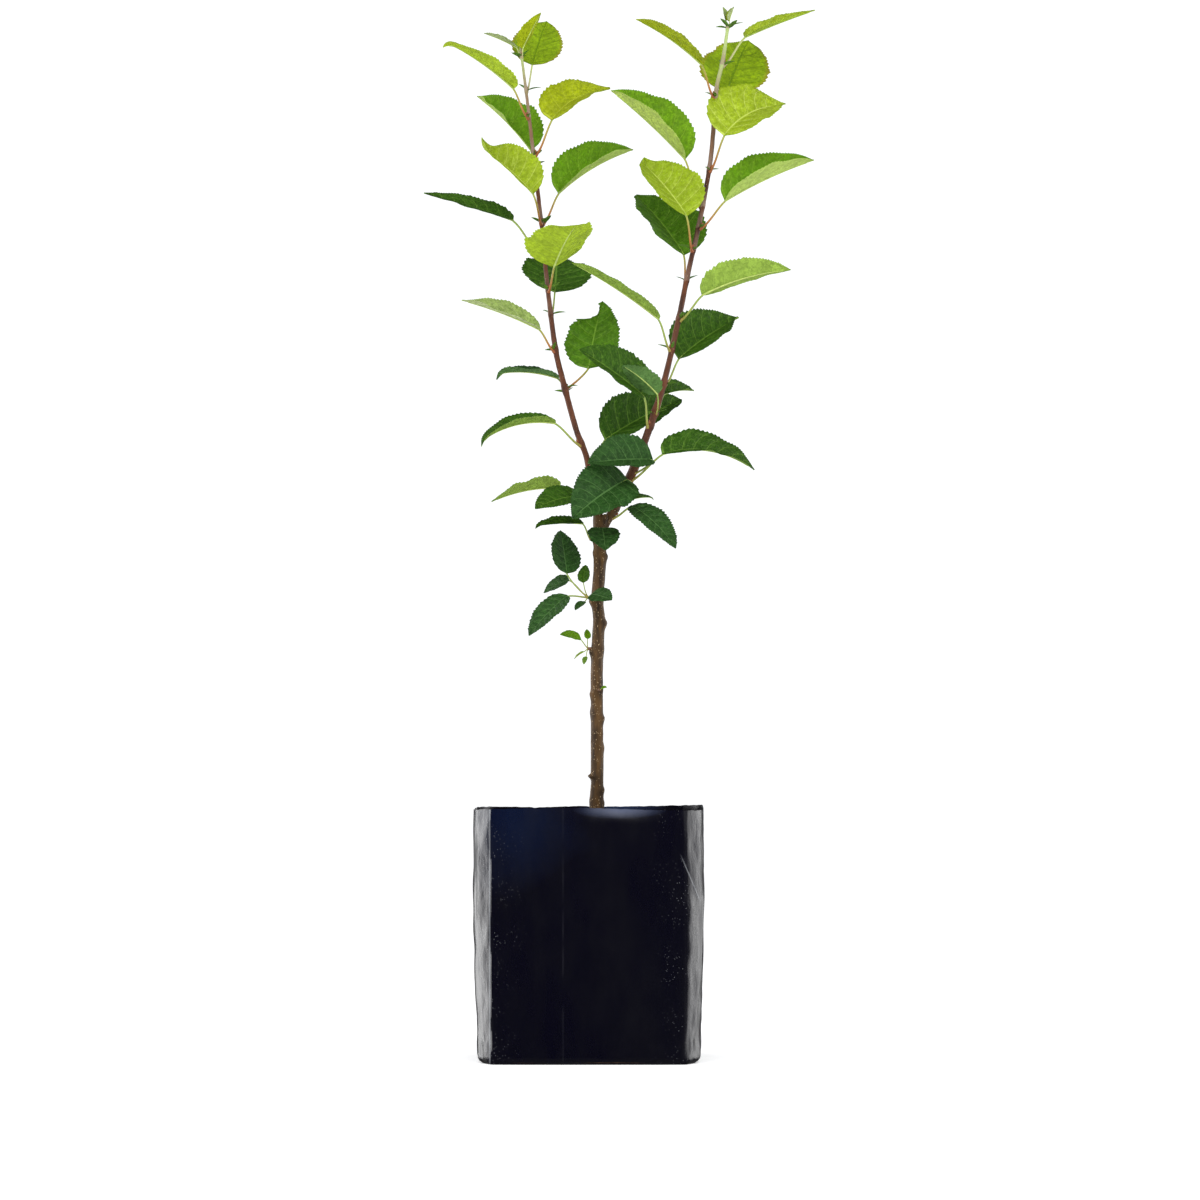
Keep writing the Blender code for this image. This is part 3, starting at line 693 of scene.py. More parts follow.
# a geometry node tree with named inputs, and how its modifier is put on and turned to a mesh
class Grove:
    def __init__(self, name, sizes):
        self.group = bpy.data.node_groups.new(name, "GeometryNodeTree")
        face = self.group.interface
        face.new_socket("Geometry", in_out="INPUT", socket_type="NodeSocketGeometry")
        for label, kind in sizes.items():
            face.new_socket(label, in_out="INPUT", socket_type="NodeSocket" + kind)
        face.new_socket("Geometry", in_out="OUTPUT", socket_type="NodeSocketGeometry")
        self.start = self.group.nodes.new("NodeGroupInput")
        self.end = self.group.nodes.new("NodeGroupOutput")

    def given(self, label):
        return self.start.outputs[label]

    def node(self, kind, settings, values, output=0):
        made = self.group.nodes.new(kind)
        for key, value in settings.items():
            setattr(made, key, value)
        for key, value in values.items():
            if isinstance(value, bpy.types.NodeSocket):
                self.group.links.new(value, made.inputs[key])
            else:
                made.inputs[key].default_value = value
        return made.outputs[output]

    def close(self, geometry):
        real = self.node("GeometryNodeRealizeInstances", {}, {"Geometry": geometry})
        worn = self.node("GeometryNodeSetMaterial", {},
                         {"Geometry": real, "Material": self.given("Skin")})
        self.group.links.new(worn, self.end.inputs[0])
        return self

    def grow(self, name, data, sizes):
        # the tree's mesh when it is put on an object with this data
        host = placed(name, data)
        growth = host.modifiers.new("growth", "NODES")
        growth.node_group = self.group
        sockets = {item.name: item.identifier for item in self.group.interface.items_tree
                   if item.in_out == "INPUT"}
        for label, value in sizes.items():
            growth[sockets[label]] = value
        return settled(host, name)


treeLook = {
    "rodUpright": 0.45, "rodDetail": 3.0,           # a rod's grain is drawn out along it
    "crumbSegments": 7, "crumbRings": 5, "crumbTip": 1.0, "crumbSpin": 3.1,
}


def sweepTree():
    # a round rod along each curve, with a grain of small relief
    tree = Grove("rod along a path", {"Sides": "Int", "Relief": "Float", "Grain": "Float",
                                      "Skin": "Material"})
    ring = tree.node("GeometryNodeCurvePrimitiveCircle", {}, {"Resolution": tree.given("Sides"),
                                                              "Radius": 1.0})
    far = tree.node("GeometryNodeSplineParameter", {}, {})
    marked = tree.node("GeometryNodeStoreNamedAttribute", {"data_type": "FLOAT",
                                                           "domain": "POINT"},
                       {"Geometry": tree.given("Geometry"), "Name": "along", "Value": far})
    thick = tree.node("GeometryNodeInputRadius", {}, {})
    rod = tree.node("GeometryNodeCurveToMesh", {},
                    {"Curve": marked, "Profile Curve": ring, "Scale": thick, "Fill Caps": True})
    place = tree.node("GeometryNodeInputPosition", {}, {})
    squeezed = tree.node("ShaderNodeVectorMath", {"operation": "MULTIPLY"},
                         {0: place, 1: (1.0, 1.0, treeLook["rodUpright"])})
    grain = tree.node("ShaderNodeTexNoise", {}, {"Vector": squeezed, "Scale": tree.given("Grain"),
                                                 "Detail": treeLook["rodDetail"]})
    centred = tree.node("ShaderNodeMath", {"operation": "SUBTRACT"}, {0: grain, 1: 0.5})
    amount = tree.node("ShaderNodeMath", {"operation": "MULTIPLY"},
                       {0: centred, 1: tree.given("Relief")})
    facing = tree.node("GeometryNodeInputNormal", {}, {})
    push = tree.node("ShaderNodeVectorMath", {"operation": "SCALE"}, {0: facing, "Scale": amount})
    moved = tree.node("GeometryNodeSetPosition", {}, {"Geometry": rod, "Offset": push})
    return tree.close(moved)


def pathCurve(name, paths):
    # a curve with one straight-pointed spline for each list of (centre, radius)
    curve = bpy.data.curves.new(name, "CURVE")
    curve.dimensions = "3D"
    for path in paths:
        spline = curve.splines.new("POLY")
        spline.points.add(len(path) - 1)
        for point, (centre, radius) in zip(spline.points, path):
            point.co = (*(Vector(centre) * mm), 1.0)
            point.radius = radius * mm
    return curve


def scatterTree():
    # small bumps or crumbs strewn over a surface
    tree = Grove("crumbs on a surface", {"Density": "Float", "Smallest": "Float",
                                         "Largest": "Float", "Shape": "Vector", "Spin": "Float",
                                         "Seed": "Int", "Skin": "Material"})
    spots = tree.node("GeometryNodeDistributePointsOnFaces", {},
                      {"Mesh": tree.given("Geometry"), "Density": tree.given("Density"),
                       "Seed": tree.given("Seed")})
    turned = spots.node.outputs["Rotation"]
    grain = tree.node("GeometryNodeMeshUVSphere", {}, {"Segments": treeLook["crumbSegments"],
                                                       "Rings": treeLook["crumbRings"],
                                                       "Radius": 1.0})
    shaped = tree.node("GeometryNodeTransform", {}, {"Geometry": grain,
                                                     "Scale": tree.given("Shape")})
    size = tree.node("FunctionNodeRandomValue", {"data_type": "FLOAT"},
                     {2: tree.given("Smallest"), 3: tree.given("Largest"),
                      "Seed": tree.given("Seed")}, 1)
    most = (treeLook["crumbTip"], treeLook["crumbTip"], treeLook["crumbSpin"])
    spin = tree.node("FunctionNodeRandomValue", {"data_type": "FLOAT_VECTOR"},
                     {0: dimmed(most, -1.0), 1: most, "Seed": tree.given("Seed")}, 0)
    eased = tree.node("ShaderNodeVectorMath", {"operation": "SCALE"},
                      {0: spin, "Scale": tree.given("Spin")})
    way = tree.node("FunctionNodeRotateRotation", {"rotation_space": "LOCAL"},
                    {"Rotation": turned, "Rotate By": eased})
    strewn = tree.node("GeometryNodeInstanceOnPoints", {},
                       {"Points": spots, "Instance": shaped, "Rotation": way, "Scale": size})
    return tree.close(strewn)


sweep = sweepTree()
scatter = scatterTree()


# bark: olive brown at the foot, reddish on the leaders, pale and downy at their tips
bark = {
    "trunk": screen(94, 66, 30), "trunkDark": screen(44, 30, 14),
    "leader": screen(106, 60, 36), "leaderDark": screen(60, 32, 20),
    "tip": screen(148, 122, 96), "downy": screen(170, 188, 120),
    # the heights over which each next colour takes over, in metres, and how uneven that edge is
    "turn": (0.470, 0.520, 0.05), "grey": (0.780, 0.850, 0.06), "green": (0.832, 0.872, 0.02),
    "gloss": 0.3, "streak": 170.0, "drawnOut": 0.22, "streakEdge": (0.32, 0.62),
    "patch": 38.0, "roughness": (0.55, 0.8), "fine": 900.0, "relief": (0.5, 0.0004),
    # a silvery bloom, most just above a leaf, and only on the younger bark
    "bloom": screen(150, 128, 112), "bloomReach": 20.0, "bloomFrom": (600.0, 780.0),
    "bloomShare": (0.35, 0.95),
    "lenticel": screen(186, 160, 122),
}


def barkMaterial(name):
    finish = Finish(name, {"Specular IOR Level": bark["gloss"]})
    height = finish.height()
    streak = finish.noise(bark["streak"], 4.0, (1, 1, bark["drawnOut"]), 0.6)
    patch = finish.noise(bark["patch"])

    def above(edge):
        low, high, uneven = bark[edge]
        return finish.span(height + (patch - 0.5) * uneven, low, high)
    turned = above("turn")
    light = finish.blend(turned, bark["trunk"], bark["leader"])
    dark = finish.blend(turned, bark["trunkDark"], bark["leaderDark"])
    base = finish.blend(finish.span(streak, *bark["streakEdge"]), dark, light)
    base = finish.blend(above("grey"), base, bark["tip"])
    base = finish.blend(above("green"), base, bark["downy"])
    bloom = finish.attribute("bloom") * finish.span(streak, 0.3, 0.6, *bark["bloomShare"])
    base = finish.blend(bloom, base, bark["bloom"])
    rough = finish.span(patch, 0.3, 0.7, *bark["roughness"])
    relief = streak + finish.noise(bark["fine"], 2.0) * 0.5
    return finish.wear(base, rough, relief, *bark["relief"])


def rod(name, path, sides, relief, grain, skin):
    return sweep.grow(name, pathCurve(name, [path]), {"Sides": sides, "Relief": relief * mm,
                                                      "Grain": grain, "Skin": skin})


def rodPiece(name, paths, skin, sides, relief=0.0, grain=1.0):
    grown = sweep.grow(name, pathCurve(name, paths),
                       {"Sides": sides, "Relief": relief * mm, "Grain": grain, "Skin": skin})
    grown.shade_smooth()
    piece(name, grown)


trunkLook = {
    "weld": 0.002, "voxel": 0.55, "ease": 3, "eased": 0.5,
    "sunk": 2.0,                                    # how far the foot goes into the mix
    "sides": 24, "leaderSides": 20, "snagSides": 16, "leftSunk": 4.0, "step": 3.0,
    "fork": 492.0, "forkEase": 8.0,                 # the leaders take over at this height
    "snag": (10.0, 2.2, -50, 74), "snagAt": 464.0, "snagShift": (4.0, -2.5, 0.0),
    # the bark's relief: its depth, its two grains, and how drawn out the finer one is
    "relief": 0.55, "grain": 260.0, "coarse": 90.0, "grainUp": 110.0,
}


def fused(name, meshes):
    # one skin over shapes that overlap, remeshed and smoothed
    work = bmesh.new()
    for mesh in meshes:
        work.from_mesh(mesh)
    bmesh.ops.remove_doubles(work, verts=work.verts, dist=trunkLook["weld"] * mm)
    host = placed(name, meshOf(name, work))
    wrap = host.modifiers.new("skin", "REMESH")
    wrap.mode = "VOXEL"
    wrap.voxel_size = trunkLook["voxel"] * mm
    ease = host.modifiers.new("ease", "SMOOTH")
    ease.factor = trunkLook["eased"]
    ease.iterations = trunkLook["ease"]
    return settled(host, name)


def trunkMesh(skin):
    fork = trunkLook["fork"]
    step = trunkLook["step"]
    meshes = [rod("stem", trunk.stations(limbs["soil"] - trunkLook["sunk"], trunk.top, step),
                  trunkLook["sides"], 0.0, 1.0, skin)]
    for name, limb, sunk in (("leftFoot", leftLeader, trunkLook["leftSunk"]),
                             ("rightFoot", rightLeader, 0.0)):
        meshes.append(rod(name, limb.stations(limb.foot - sunk, fork, step),
                          trunkLook["leaderSides"], 0.0, 1.0, skin))
    length, radius, bearing, rise = trunkLook["snag"]
    root = trunk.centre(trunkLook["snagAt"]) + Vector(trunkLook["snagShift"])
    tip = root + heading(bearing, rise) * length
    meshes.append(rod("snag", [(root, radius), (root.lerp(tip, 0.8), radius),
                               (tip, radius * 0.8)], trunkLook["snagSides"], 0.0, 1.0, skin))
    mesh = fused("trunk_bark", meshes)
    points = np.empty(len(mesh.vertices) * 3)
    normals = np.empty(len(mesh.vertices) * 3)
    mesh.vertices.foreach_get("co", points)
    mesh.vertices.foreach_get("normal", normals)
    points = points.reshape(-1, 3)
    normals = normals.reshape(-1, 3)
    heights = points[:, 2] / mm
    push = np.zeros(len(points))
    for height, bearing, proud, spread in limbs["knuckles"]:
        home = trunk.centre(height)
        way = heading(bearing, 0)
        side = (points[:, 0] / mm - home.x) * way.x + (points[:, 1] / mm - home.y) * way.y
        facing = np.clip(side / max(1.0, trunk.radius(height)), 0, 1) ** 1.5
        rise = (heights - height) / spread
        push += proud * facing * np.exp(-np.where(rise > 0, rise * 1.5, rise) ** 2)
    fineness = Vector((trunkLook["grain"], trunkLook["grain"], trunkLook["grainUp"]))
    for number, point in enumerate(points):
        spot = Vector(point)
        grain = noise.noise(spot * fineness) + noise.noise(spot * trunkLook["coarse"])
        push[number] += trunkLook["relief"] * 0.5 * grain
    fade = np.clip((fork - heights) / trunkLook["forkEase"], 0, 1)
    points += normals * (push * mm * fade)[:, None]
    mesh.vertices.foreach_set("co", points.ravel())
    mesh.materials.clear()
    mesh.materials.append(skin)
    mesh.shade_smooth()
    return mesh


leaderLook = {
    "sides": 24, "relief": 0.5, "grain": 420.0,
    "swell": 0.16, "swellReach": 3.2, "mostSwell": 0.2,         # shares of the radius, at a leaf
    "ring": 0.05, "ringReach": 0.8, "ringDrop": 1.5,            # and in a ring just under it
    "tipOut": 0.6, "tipGirth": 0.5,
    "leftFrom": 6.0, "rightFrom": 26.0,             # how far above its foot a leader is parted
}


def leaderMesh(name, limb, bottom, nodesAt, skin):
    # a tapering leader that swells a little at each leaf
    def swollen(share, reach, drop, at):
        return sum(share * math.exp(-((at - height + drop) / reach) ** 2) for height in nodesAt)
    path = []
    for centre, radius in limb.stations(bottom, limb.top, 1.0):
        swell = swollen(leaderLook["swell"], leaderLook["swellReach"], 0.0, centre.z)
        ring = swollen(leaderLook["ring"], leaderLook["ringReach"], leaderLook["ringDrop"],
                       centre.z)
        path.append((centre, radius * (1 + min(leaderLook["mostSwell"], swell) + ring)))
    tip, radius = path[-1]
    path.append((tip + limb.axis(limb.top - 4) * leaderLook["tipOut"],
                 radius * leaderLook["tipGirth"]))
    mesh = rod(name, path, leaderLook["sides"], leaderLook["relief"], leaderLook["grain"], skin)
    mesh.shade_smooth()
    spots = np.empty(len(mesh.vertices) * 3)
    mesh.vertices.foreach_get("co", spots)
    heights = spots[2::3] / mm
    rises = heights[:, None] - np.array(sorted(nodesAt))[None, :]
    near = np.where(rises > -1, rises, bark["bloomReach"]).min(axis=1)
    low, high = bark["bloomFrom"]
    bloom = easing(1 - near / bark["bloomReach"]) * easing((heights - low) / (high - low))
    mesh.attributes.new("bloom", "FLOAT", "POINT").data.foreach_set("value", bloom)
    return mesh


# leaf stalks: rusty at the foot of a young one, and yellow green where they meet the blade
stalks = {
    "radius": 0.95, "flare": 0.8, "flareFade": 12.0, "taper": 0.1, "sides": 10, "steps": 16,
    "lift": 0.45, "nearPull": 0.32, "farPull": 0.3,     # how the stalk bends at its two ends
    "keelEnd": 0.92, "keelSteps": 14, "keelFoot": 0.9, "keelTaper": 0.72,
    "rusty": [(0.0, screen(150, 82, 48)), (0.35, screen(176, 120, 62)),
              (0.95, screen(160, 170, 72))],
    "greenish": [(0.0, screen(150, 128, 60)), (0.3, screen(150, 164, 74)),
                 (1.0, screen(140, 168, 76))],
    "pale": [(0.0, screen(168, 150, 110)), (0.4, screen(182, 184, 128)),
             (1.0, screen(176, 192, 104))],
    "paleFrom": 840,                # the downy stalks at the tips
    "keel": screen(178, 196, 104),
    "woody": screen(106, 74, 50), "spurFoot": 1.7, "spurRadius": 1.5, "spurTip": 1.2,
    "spurLength": 3.4, "spurStalks": 2.6, "spurSides": 12, "spurRelief": 0.5, "spurGrain": 500.0,
    "gloss": 0.35, "grain": 420.0, "drawnOut": 0.5, "uneven": 0.25, "dark": 0.8,
    "roughness": (0.42, 0.58), "relief": (0.25, 0.0002),
}
plainLook = {"grain": 300.0, "dark": 0.82, "light": 1.16, "uneven": 0.06}
rustyTones = ("gold", "lime", "olive", "mid", "grass", "downy")


def stalkMaterial(name, stops):
    finish = Finish(name, {"Specular IOR Level": stalks["gloss"]})
    fine = finish.noise(stalks["grain"], 3.0, (1, 1, stalks["drawnOut"]))
    base = finish.ramp(finish.attribute("along") + (fine - 0.5) * stalks["uneven"], stops)
    base = finish.blend(finish.span(fine, 0.3, 0.7, 0.0, stalks["uneven"]), base,
                        dimmed(stops[0][1], stalks["dark"]))
    rough = finish.span(fine, 0.3, 0.7, *stalks["roughness"])
    return finish.wear(base, rough, fine, *stalks["relief"])


def plainMaterial(name, colour, roughness):
    # one colour with a fine mottle
    finish = Finish(name, {"Specular IOR Level": stalks["gloss"]})
    fine = finish.noise(plainLook["grain"], 3.0, (1, 1, stalks["drawnOut"]))
    base = finish.blend(finish.span(fine, 0.3, 0.7), dimmed(colour, plainLook["dark"]),
                        dimmed(colour, plainLook["light"]))
    uneven = plainLook["uneven"]
    rough = finish.span(fine, 0.3, 0.7, roughness - uneven, roughness + uneven)
    return finish.wear(base, rough, fine, *stalks["relief"])


def stalkPath(root, outward, base, run, thin):
    # one easy bend from the limb's side to the foot of the midrib
    reach = (base - root).length
    way = (base - root).normalized()
    first = root + (way + outward * stalks["lift"]).normalized() * reach * stalks["nearPull"]
    second = base - (run * 0.75 + way).normalized() * reach * stalks["farPull"]
    path = []
    for number in range(stalks["steps"] + 1):
        t = number / stalks["steps"]
        point = root * (1 - t) ** 3 + first * (3 * t * (1 - t) ** 2)
        point += second * (3 * t ** 2 * (1 - t)) + base * t ** 3
        flare = stalks["flare"] * math.exp(-t * stalks["flareFade"])
        path.append((point, (stalks["radius"] + flare) * thin * (1 - stalks["taper"] * t)))
    return path


def keelPath(blade, thin):
    # the midrib stands out under the blade and fades towards its tip
    path = []
    steps = stalks["keelSteps"]
    for number in range(steps + 1):
        point, _, _, face = blade.frame(stalks["keelEnd"] * number / steps)
        radius = stalks["radius"] * thin * (stalks["keelFoot"]
                                            - stalks["keelTaper"] * number / steps)
        path.append((Vector(point) - Vector(face) * (0.08 + radius * 0.55), radius))
    return path


# small leafy scales beside each young leaf, and the bud in its axil
scales = {"length": 12.0, "width": 3.4, "thickness": 0.22, "rise": 24, "spread": 64, "lean": 0.9,
          "rows": 9, "droop": 0.16, "fold": 0.5, "seed": 11, "lowest": 560,
          "upper": screen(92, 136, 40), "vein": screen(140, 170, 70), "edge": screen(62, 96, 32),
          "veinShare": 0.4, "roughness": 0.5, "gloss": 0.2}
buds = {"length": 3.6, "radius": 1.15, "colour": screen(140, 82, 48),
        "rings": (0.04, 0.15, 0.3, 0.45, 0.6, 0.75, 0.88, 0.97)}


def sliver(heap, base, way, up, length, width, shade):
    # a slender folded blade with a pointed tip
    side = up.cross(way).normalized()
    lift = way.cross(side).normalized()
    t, c = np.meshgrid(np.linspace(0, 1, scales["rows"]), np.linspace(-1, 1, 5), indexing="ij")
    reach = width / 2 * np.maximum(0.05, np.sin(np.pi * t ** 0.8) ** 0.8)
    lifted = np.abs(c) * reach * scales["fold"] - scales["droop"] * length * t ** 2
    middle = np.array(base) + np.array(way) * (t * length)[..., None] \
        + np.array(side) * (c * reach)[..., None] + np.array(lift) * lifted[..., None]
    normal = np.broadcast_to(np.array(lift), middle.shape)
    chart = np.stack([c / 2 + 0.5, np.full(t.shape, 0.5)], -1)
    heap.sheet(middle, normal, chart, scales["thickness"], shade)


def budPath(base, way, length, radius):
    return [(base + way * (length * t), radius * math.sin(math.pi * t ** 0.75) ** 0.7)
            for t in buds["rings"]]


print("materials")
barkSkin = barkMaterial("bark")
leafSkins = {}
for tone, (upper, under, vein, share) in leafTones.items():
    edge = screen(*leafFinish["edge"][tone]) if tone in leafFinish["edge"] \
        else dimmed(screen(*upper), 0.7)
    paleVein = screen(*(min(255, value + 14) for value in under))
    leafSkins[tone] = [
        leafMaterial("leaf_" + tone, screen(*upper), screen(*vein), share,
                     leafFinish["roughness"], leafFinish["gloss"], -1.0, edge),
        leafMaterial("underside_" + tone, screen(*under), paleVein, leafFinish["undersideVein"],
                     leafFinish["undersideRoughness"], leafFinish["undersideGloss"], 1.2,
                     screen(*under))]

# how stalks, buds, scales and spurs sit on their limb
growth = {
    "archStray": 2.0, "slimFoot": 0.35, "slimLength": 110.0,    # a small leaf's stalk is slimmer
    "stalkDrop": 2.5, "stalkIn": 0.75,              # where a stalk starts, by the limb's radius
    "budUp": 0.6, "budIn": 0.85, "budLean": (0.9, 0.45),
    "scaleDrop": 1.0, "scaleIn": 0.8, "scaleSpread": 16, "scaleRise": (-14, 22),
    "scaleSize": (0.65, 1.15),
    "spurIn": 0.6, "spurMiddle": 0.6,
}
leafHeaps = {tone: Heap() for tone in leafTones}
toneNodes = {tone: set() for tone in leafTones}
scaleHeap = Heap()
stalkPaths = {"rusty": [], "greenish": [], "pale": []}
keelPaths = []
budPaths = []
spurPaths = []
chance = random.Random(blades["seed"])
look = random.Random(scales["seed"])
nodeHeights = {"left": [], "right": []}


def leafOn(limb, side, nodeName, spurSide, meanHeight, leaf):
    # one leaf with its stalk, and on a leader its bud and its scales
    tone, height, (length, bearing, rise), size, hold, extras = leaf
    base = limb.centre(height) + heading(bearing, rise) * length
    arch = hold[0] + chance.uniform(-growth["archStray"], growth["archStray"])
    blade = Blade(base, size, (arch, hold[1], hold[2]), extras)
    leafHeaps[tone].sheet(*blade.grid(look), blades["thickness"],
                          extras.get("shade", look.random()))
    toneNodes[tone].add(nodeName)
    thin = min(1.0, growth["slimFoot"] + size[0] / growth["slimLength"])
    if side == "trunk":
        outward = limb.outward(meanHeight, spurSide)
        root = limb.centre(meanHeight) + outward * (limb.radius(meanHeight)
                                                    + stalks["spurStalks"])
    else:
        outward = limb.outward(height, bearing if spurSide is None else spurSide)
        root = limb.centre(height - growth["stalkDrop"])
        root = root + outward * limb.radius(height) * growth["stalkIn"]
        nodeHeights[side].append(height)
        budOn(limb, height, outward, thin)
    keel = keelPath(blade, thin)
    keelPaths.append(keel)
    run = Vector(blade.frame(0.0)[1])
    kind = "rusty" if tone in rustyTones and side != "trunk" else "greenish"
    kind = "pale" if height > stalks["paleFrom"] else kind
    stalkPaths[kind].append(stalkPath(root, outward, keel[0][0] + run * 0.8, run, thin))
    if side != "trunk" and height > scales["lowest"]:
        scalesOn(limb, height, bearing, outward)


def budOn(limb, height, outward, thin):
    foot = limb.centre(height + growth["budUp"]) + outward * limb.radius(height) * growth["budIn"]
    up, out = growth["budLean"]
    way = (limb.axis(height) * up + outward * out).normalized()
    budPaths.append(budPath(foot, way, buds["length"] * thin, buds["radius"] * thin))


def scalesOn(limb, height, bearing, outward):
    spread = growth["scaleSpread"]
    for turn in (-1, 1):
        swing = bearing + turn * (scales["spread"] + look.uniform(-spread, spread))
        way = heading(swing, scales["rise"] + look.uniform(*growth["scaleRise"]))
        start = limb.centre(height - growth["scaleDrop"])
        start = start + outward * limb.radius(height) * growth["scaleIn"]
        scale = look.uniform(*growth["scaleSize"])
        lean = Vector((look.uniform(-1, 1), look.uniform(-1, 1), 0)) * scales["lean"]
        sliver(scaleHeap, start, way, Vector((0, 0, 1)) + lean, scales["length"] * scale,
               scales["width"] * scale, look.random())


def spurOn(limb, height, spurSide):
    outward = limb.outward(height, spurSide)
    foot = limb.centre(height) + outward * limb.radius(height) * growth["spurIn"]
    head = limb.centre(height) + outward * (limb.radius(height) + stalks["spurLength"])
    spurPaths.append([(foot, stalks["spurFoot"]),
                      (foot.lerp(head, growth["spurMiddle"]), stalks["spurRadius"]),
                      (head, stalks["spurTip"])])


print("leaves and stalks")
for side, limb, sprays in (("left", leftLeader, leftSprays), ("right", rightLeader, rightSprays),
                           ("trunk", trunk, trunkSprays), ("left", leftLeader, leftShoots),
                           ("right", rightLeader, rightShoots)):
    for nodeName, (spurSide, leaves) in sprays.items():
        meanHeight = sum(leaf[1] for leaf in leaves) / len(leaves)
        for leaf in leaves:
            leafOn(limb, side, nodeName, spurSide, meanHeight, leaf)
        if side == "trunk":
            spurOn(limb, meanHeight, spurSide)

for tone, heap in leafHeaps.items():
    piece("leaves_" + tone, heap.mesh("leaves_" + tone, leafSkins[tone]),
          sorted(toneNodes[tone]))


for kind, paths in stalkPaths.items():
    rodPiece("stalks_" + kind, paths, stalkMaterial("stalk_" + kind, stalks[kind]),
             stalks["sides"])
rodPiece("midribs", keelPaths, plainMaterial("midribs", stalks["keel"], 0.5),
         stalks["sides"])
rodPiece("buds", budPaths, plainMaterial("buds", buds["colour"], 0.5),
         stalks["sides"])
rodPiece("spurs", spurPaths, plainMaterial("spur", stalks["woody"], 0.7),
         stalks["spurSides"], stalks["spurRelief"], stalks["spurGrain"])
scaleSkin = leafMaterial("scale_leaf", scales["upper"], scales["vein"], scales["veinShare"],
                         scales["roughness"], scales["gloss"], -1.0, scales["edge"])
piece("scale_leaves", scaleHeap.mesh("scale_leaves", [scaleSkin, scaleSkin]))

print("trunk and leaders")
trunkSkin = trunkMesh(barkSkin)
piece("trunk_bark", trunkSkin, ["trunk"])
leaders = {}
for name, limb in (("left", leftLeader), ("right", rightLeader)):
    title = name + "_leader_bark"
    leaders[name] = leaderMesh(title, limb, limb.foot + leaderLook[name + "From"],
                               nodeHeights[name], barkSkin)
    piece(title, leaders[name], [name + "_bough"])

# pale dots on the bark: how many to a square metre, and the smallest and largest
lenticels = {
    "skin": plainMaterial("lenticel", bark["lenticel"], 0.8), "shape": (0.8, 1.2, 0.35),
    "spin": 0.15, "seed": 3,
    "trunk": (trunkSkin, 75000.0, (0.20, 0.46), "trunk_bark"),
    "left": (leaders["left"], 26000.0, (0.14, 0.30), "young_bark"),
    "right": (leaders["right"], 26000.0, (0.14, 0.32), "young_bark"),
}
for name in ("trunk", "left", "right"):
    mesh, density, sizes, slot = lenticels[name]
    dots = scatter.grow(name + "_lenticels", mesh.copy(),
                        {"Density": density, "Smallest": sizes[0] * mm,
                         "Largest": sizes[1] * mm, "Shape": lenticels["shape"],
                         "Spin": lenticels["spin"], "Seed": lenticels["seed"],
                         "Skin": lenticels["skin"]})
    dots.shade_smooth()
    piece(name + "_lenticels", dots)


# the bag: a gusseted film that stands square, with a fold down each corner
bag = {
    "width": 200.0, "footWidth": 194.0, "height": 220.0, "film": 0.9, "bulge": 1.5,
    "widening": 1.15,               # how soon above the foot it is as wide as the rim
    "columns": 320, "rows": 100, "footRing": 0.9, "sharp": 38.0,
    # the plan of a corner, as lengths along the film and the turn made over each
    "foldAt": 83.0, "shoulder": 4.0, "foldTurn": 48.0, "cheek": (20.0, 7.0), "round": 26.0,
    "crease": 1.2, "softCrease": 8.0, "planLength": 190.0, "planSteps": 760,
    "tuck": (4.5, 6.0), "plumbTo": 0.8,             # drawn in at the foot, beyond the folds
    # the film's dents: how close together round the bag and up it, and how deep
    "dent": (0.02, 0.012, 1.3), "fineDent": (3.1, 0.5), "pleat": (9.0, 0.006, 0.5),
    "crumple": (14.0, 0.06, 1.1), "crumpleAt": (14.0, 12.0), "settled": 4.0, "setBack": 1.2,
    "crinkle": (0.09, 0.045), "crinkleAt": (92.0, 9.0), "crinkleDepth": (1.5, 1.9),
    # the lip turns in a little all round, and more at one place on the front
    "lipFrom": 208.0, "lip": 0.4, "flare": (3.6, 27.0, 30.0),
    "rimFrom": 0.8, "rimWave": 1.2, "backDrop": (2.4, 5.0, 45.0), "ragged": (22.0, 0.7, 0.2),
    "colour": screen(4, 3, 19), "navy": screen(3, 14, 42), "scuff": screen(110, 112, 116),
    # the next two give the painted bluish highlight under the front of the lip, and its centre
    "paintedHighlight": screen(62, 78, 118), "paintedHighlightAt": (0.027, 0.0, 1.092),     # its height counts five times
    "navyAt": (-66.0, -100.0, 206.0), "navyReach": 62.0, "foldMark": -84.7, "creaseMark": -22.0,
    "streakAt": ((79.7, 177.0), (97.9, 134.0)),     # a scuffed fold on the front, in X and Z
    "shares": {"dust": 0.9, "streak": 0.7, "fold": 0.8, "crease": 0.045},   # of the scuffs
    # this line also sets how uneven the painted lip highlight is, and how it fades
    "cloud": 14.0, "navyUneven": 0.09, "paintedHighlightUneven": 0.02, "paintedHighlightEdge": (0.008, 0.041, 0.5),
    # specks of dust: how close they are, their edge, the patches they lie in, and from where
    "dust": (430.0, (0.17, 0.11), 30.0, (0.45, 0.62), (0.05, 0.08)),
    "smear": 26.0, "roughness": (0.22, 0.42), "ripple": 55.0, "relief": (0.4, 0.001),
    "wrinkle": (130.0, 5.0, 3.4), "cheekFrom": (0.083, 0.087), "front": (-0.084, -0.078),
}


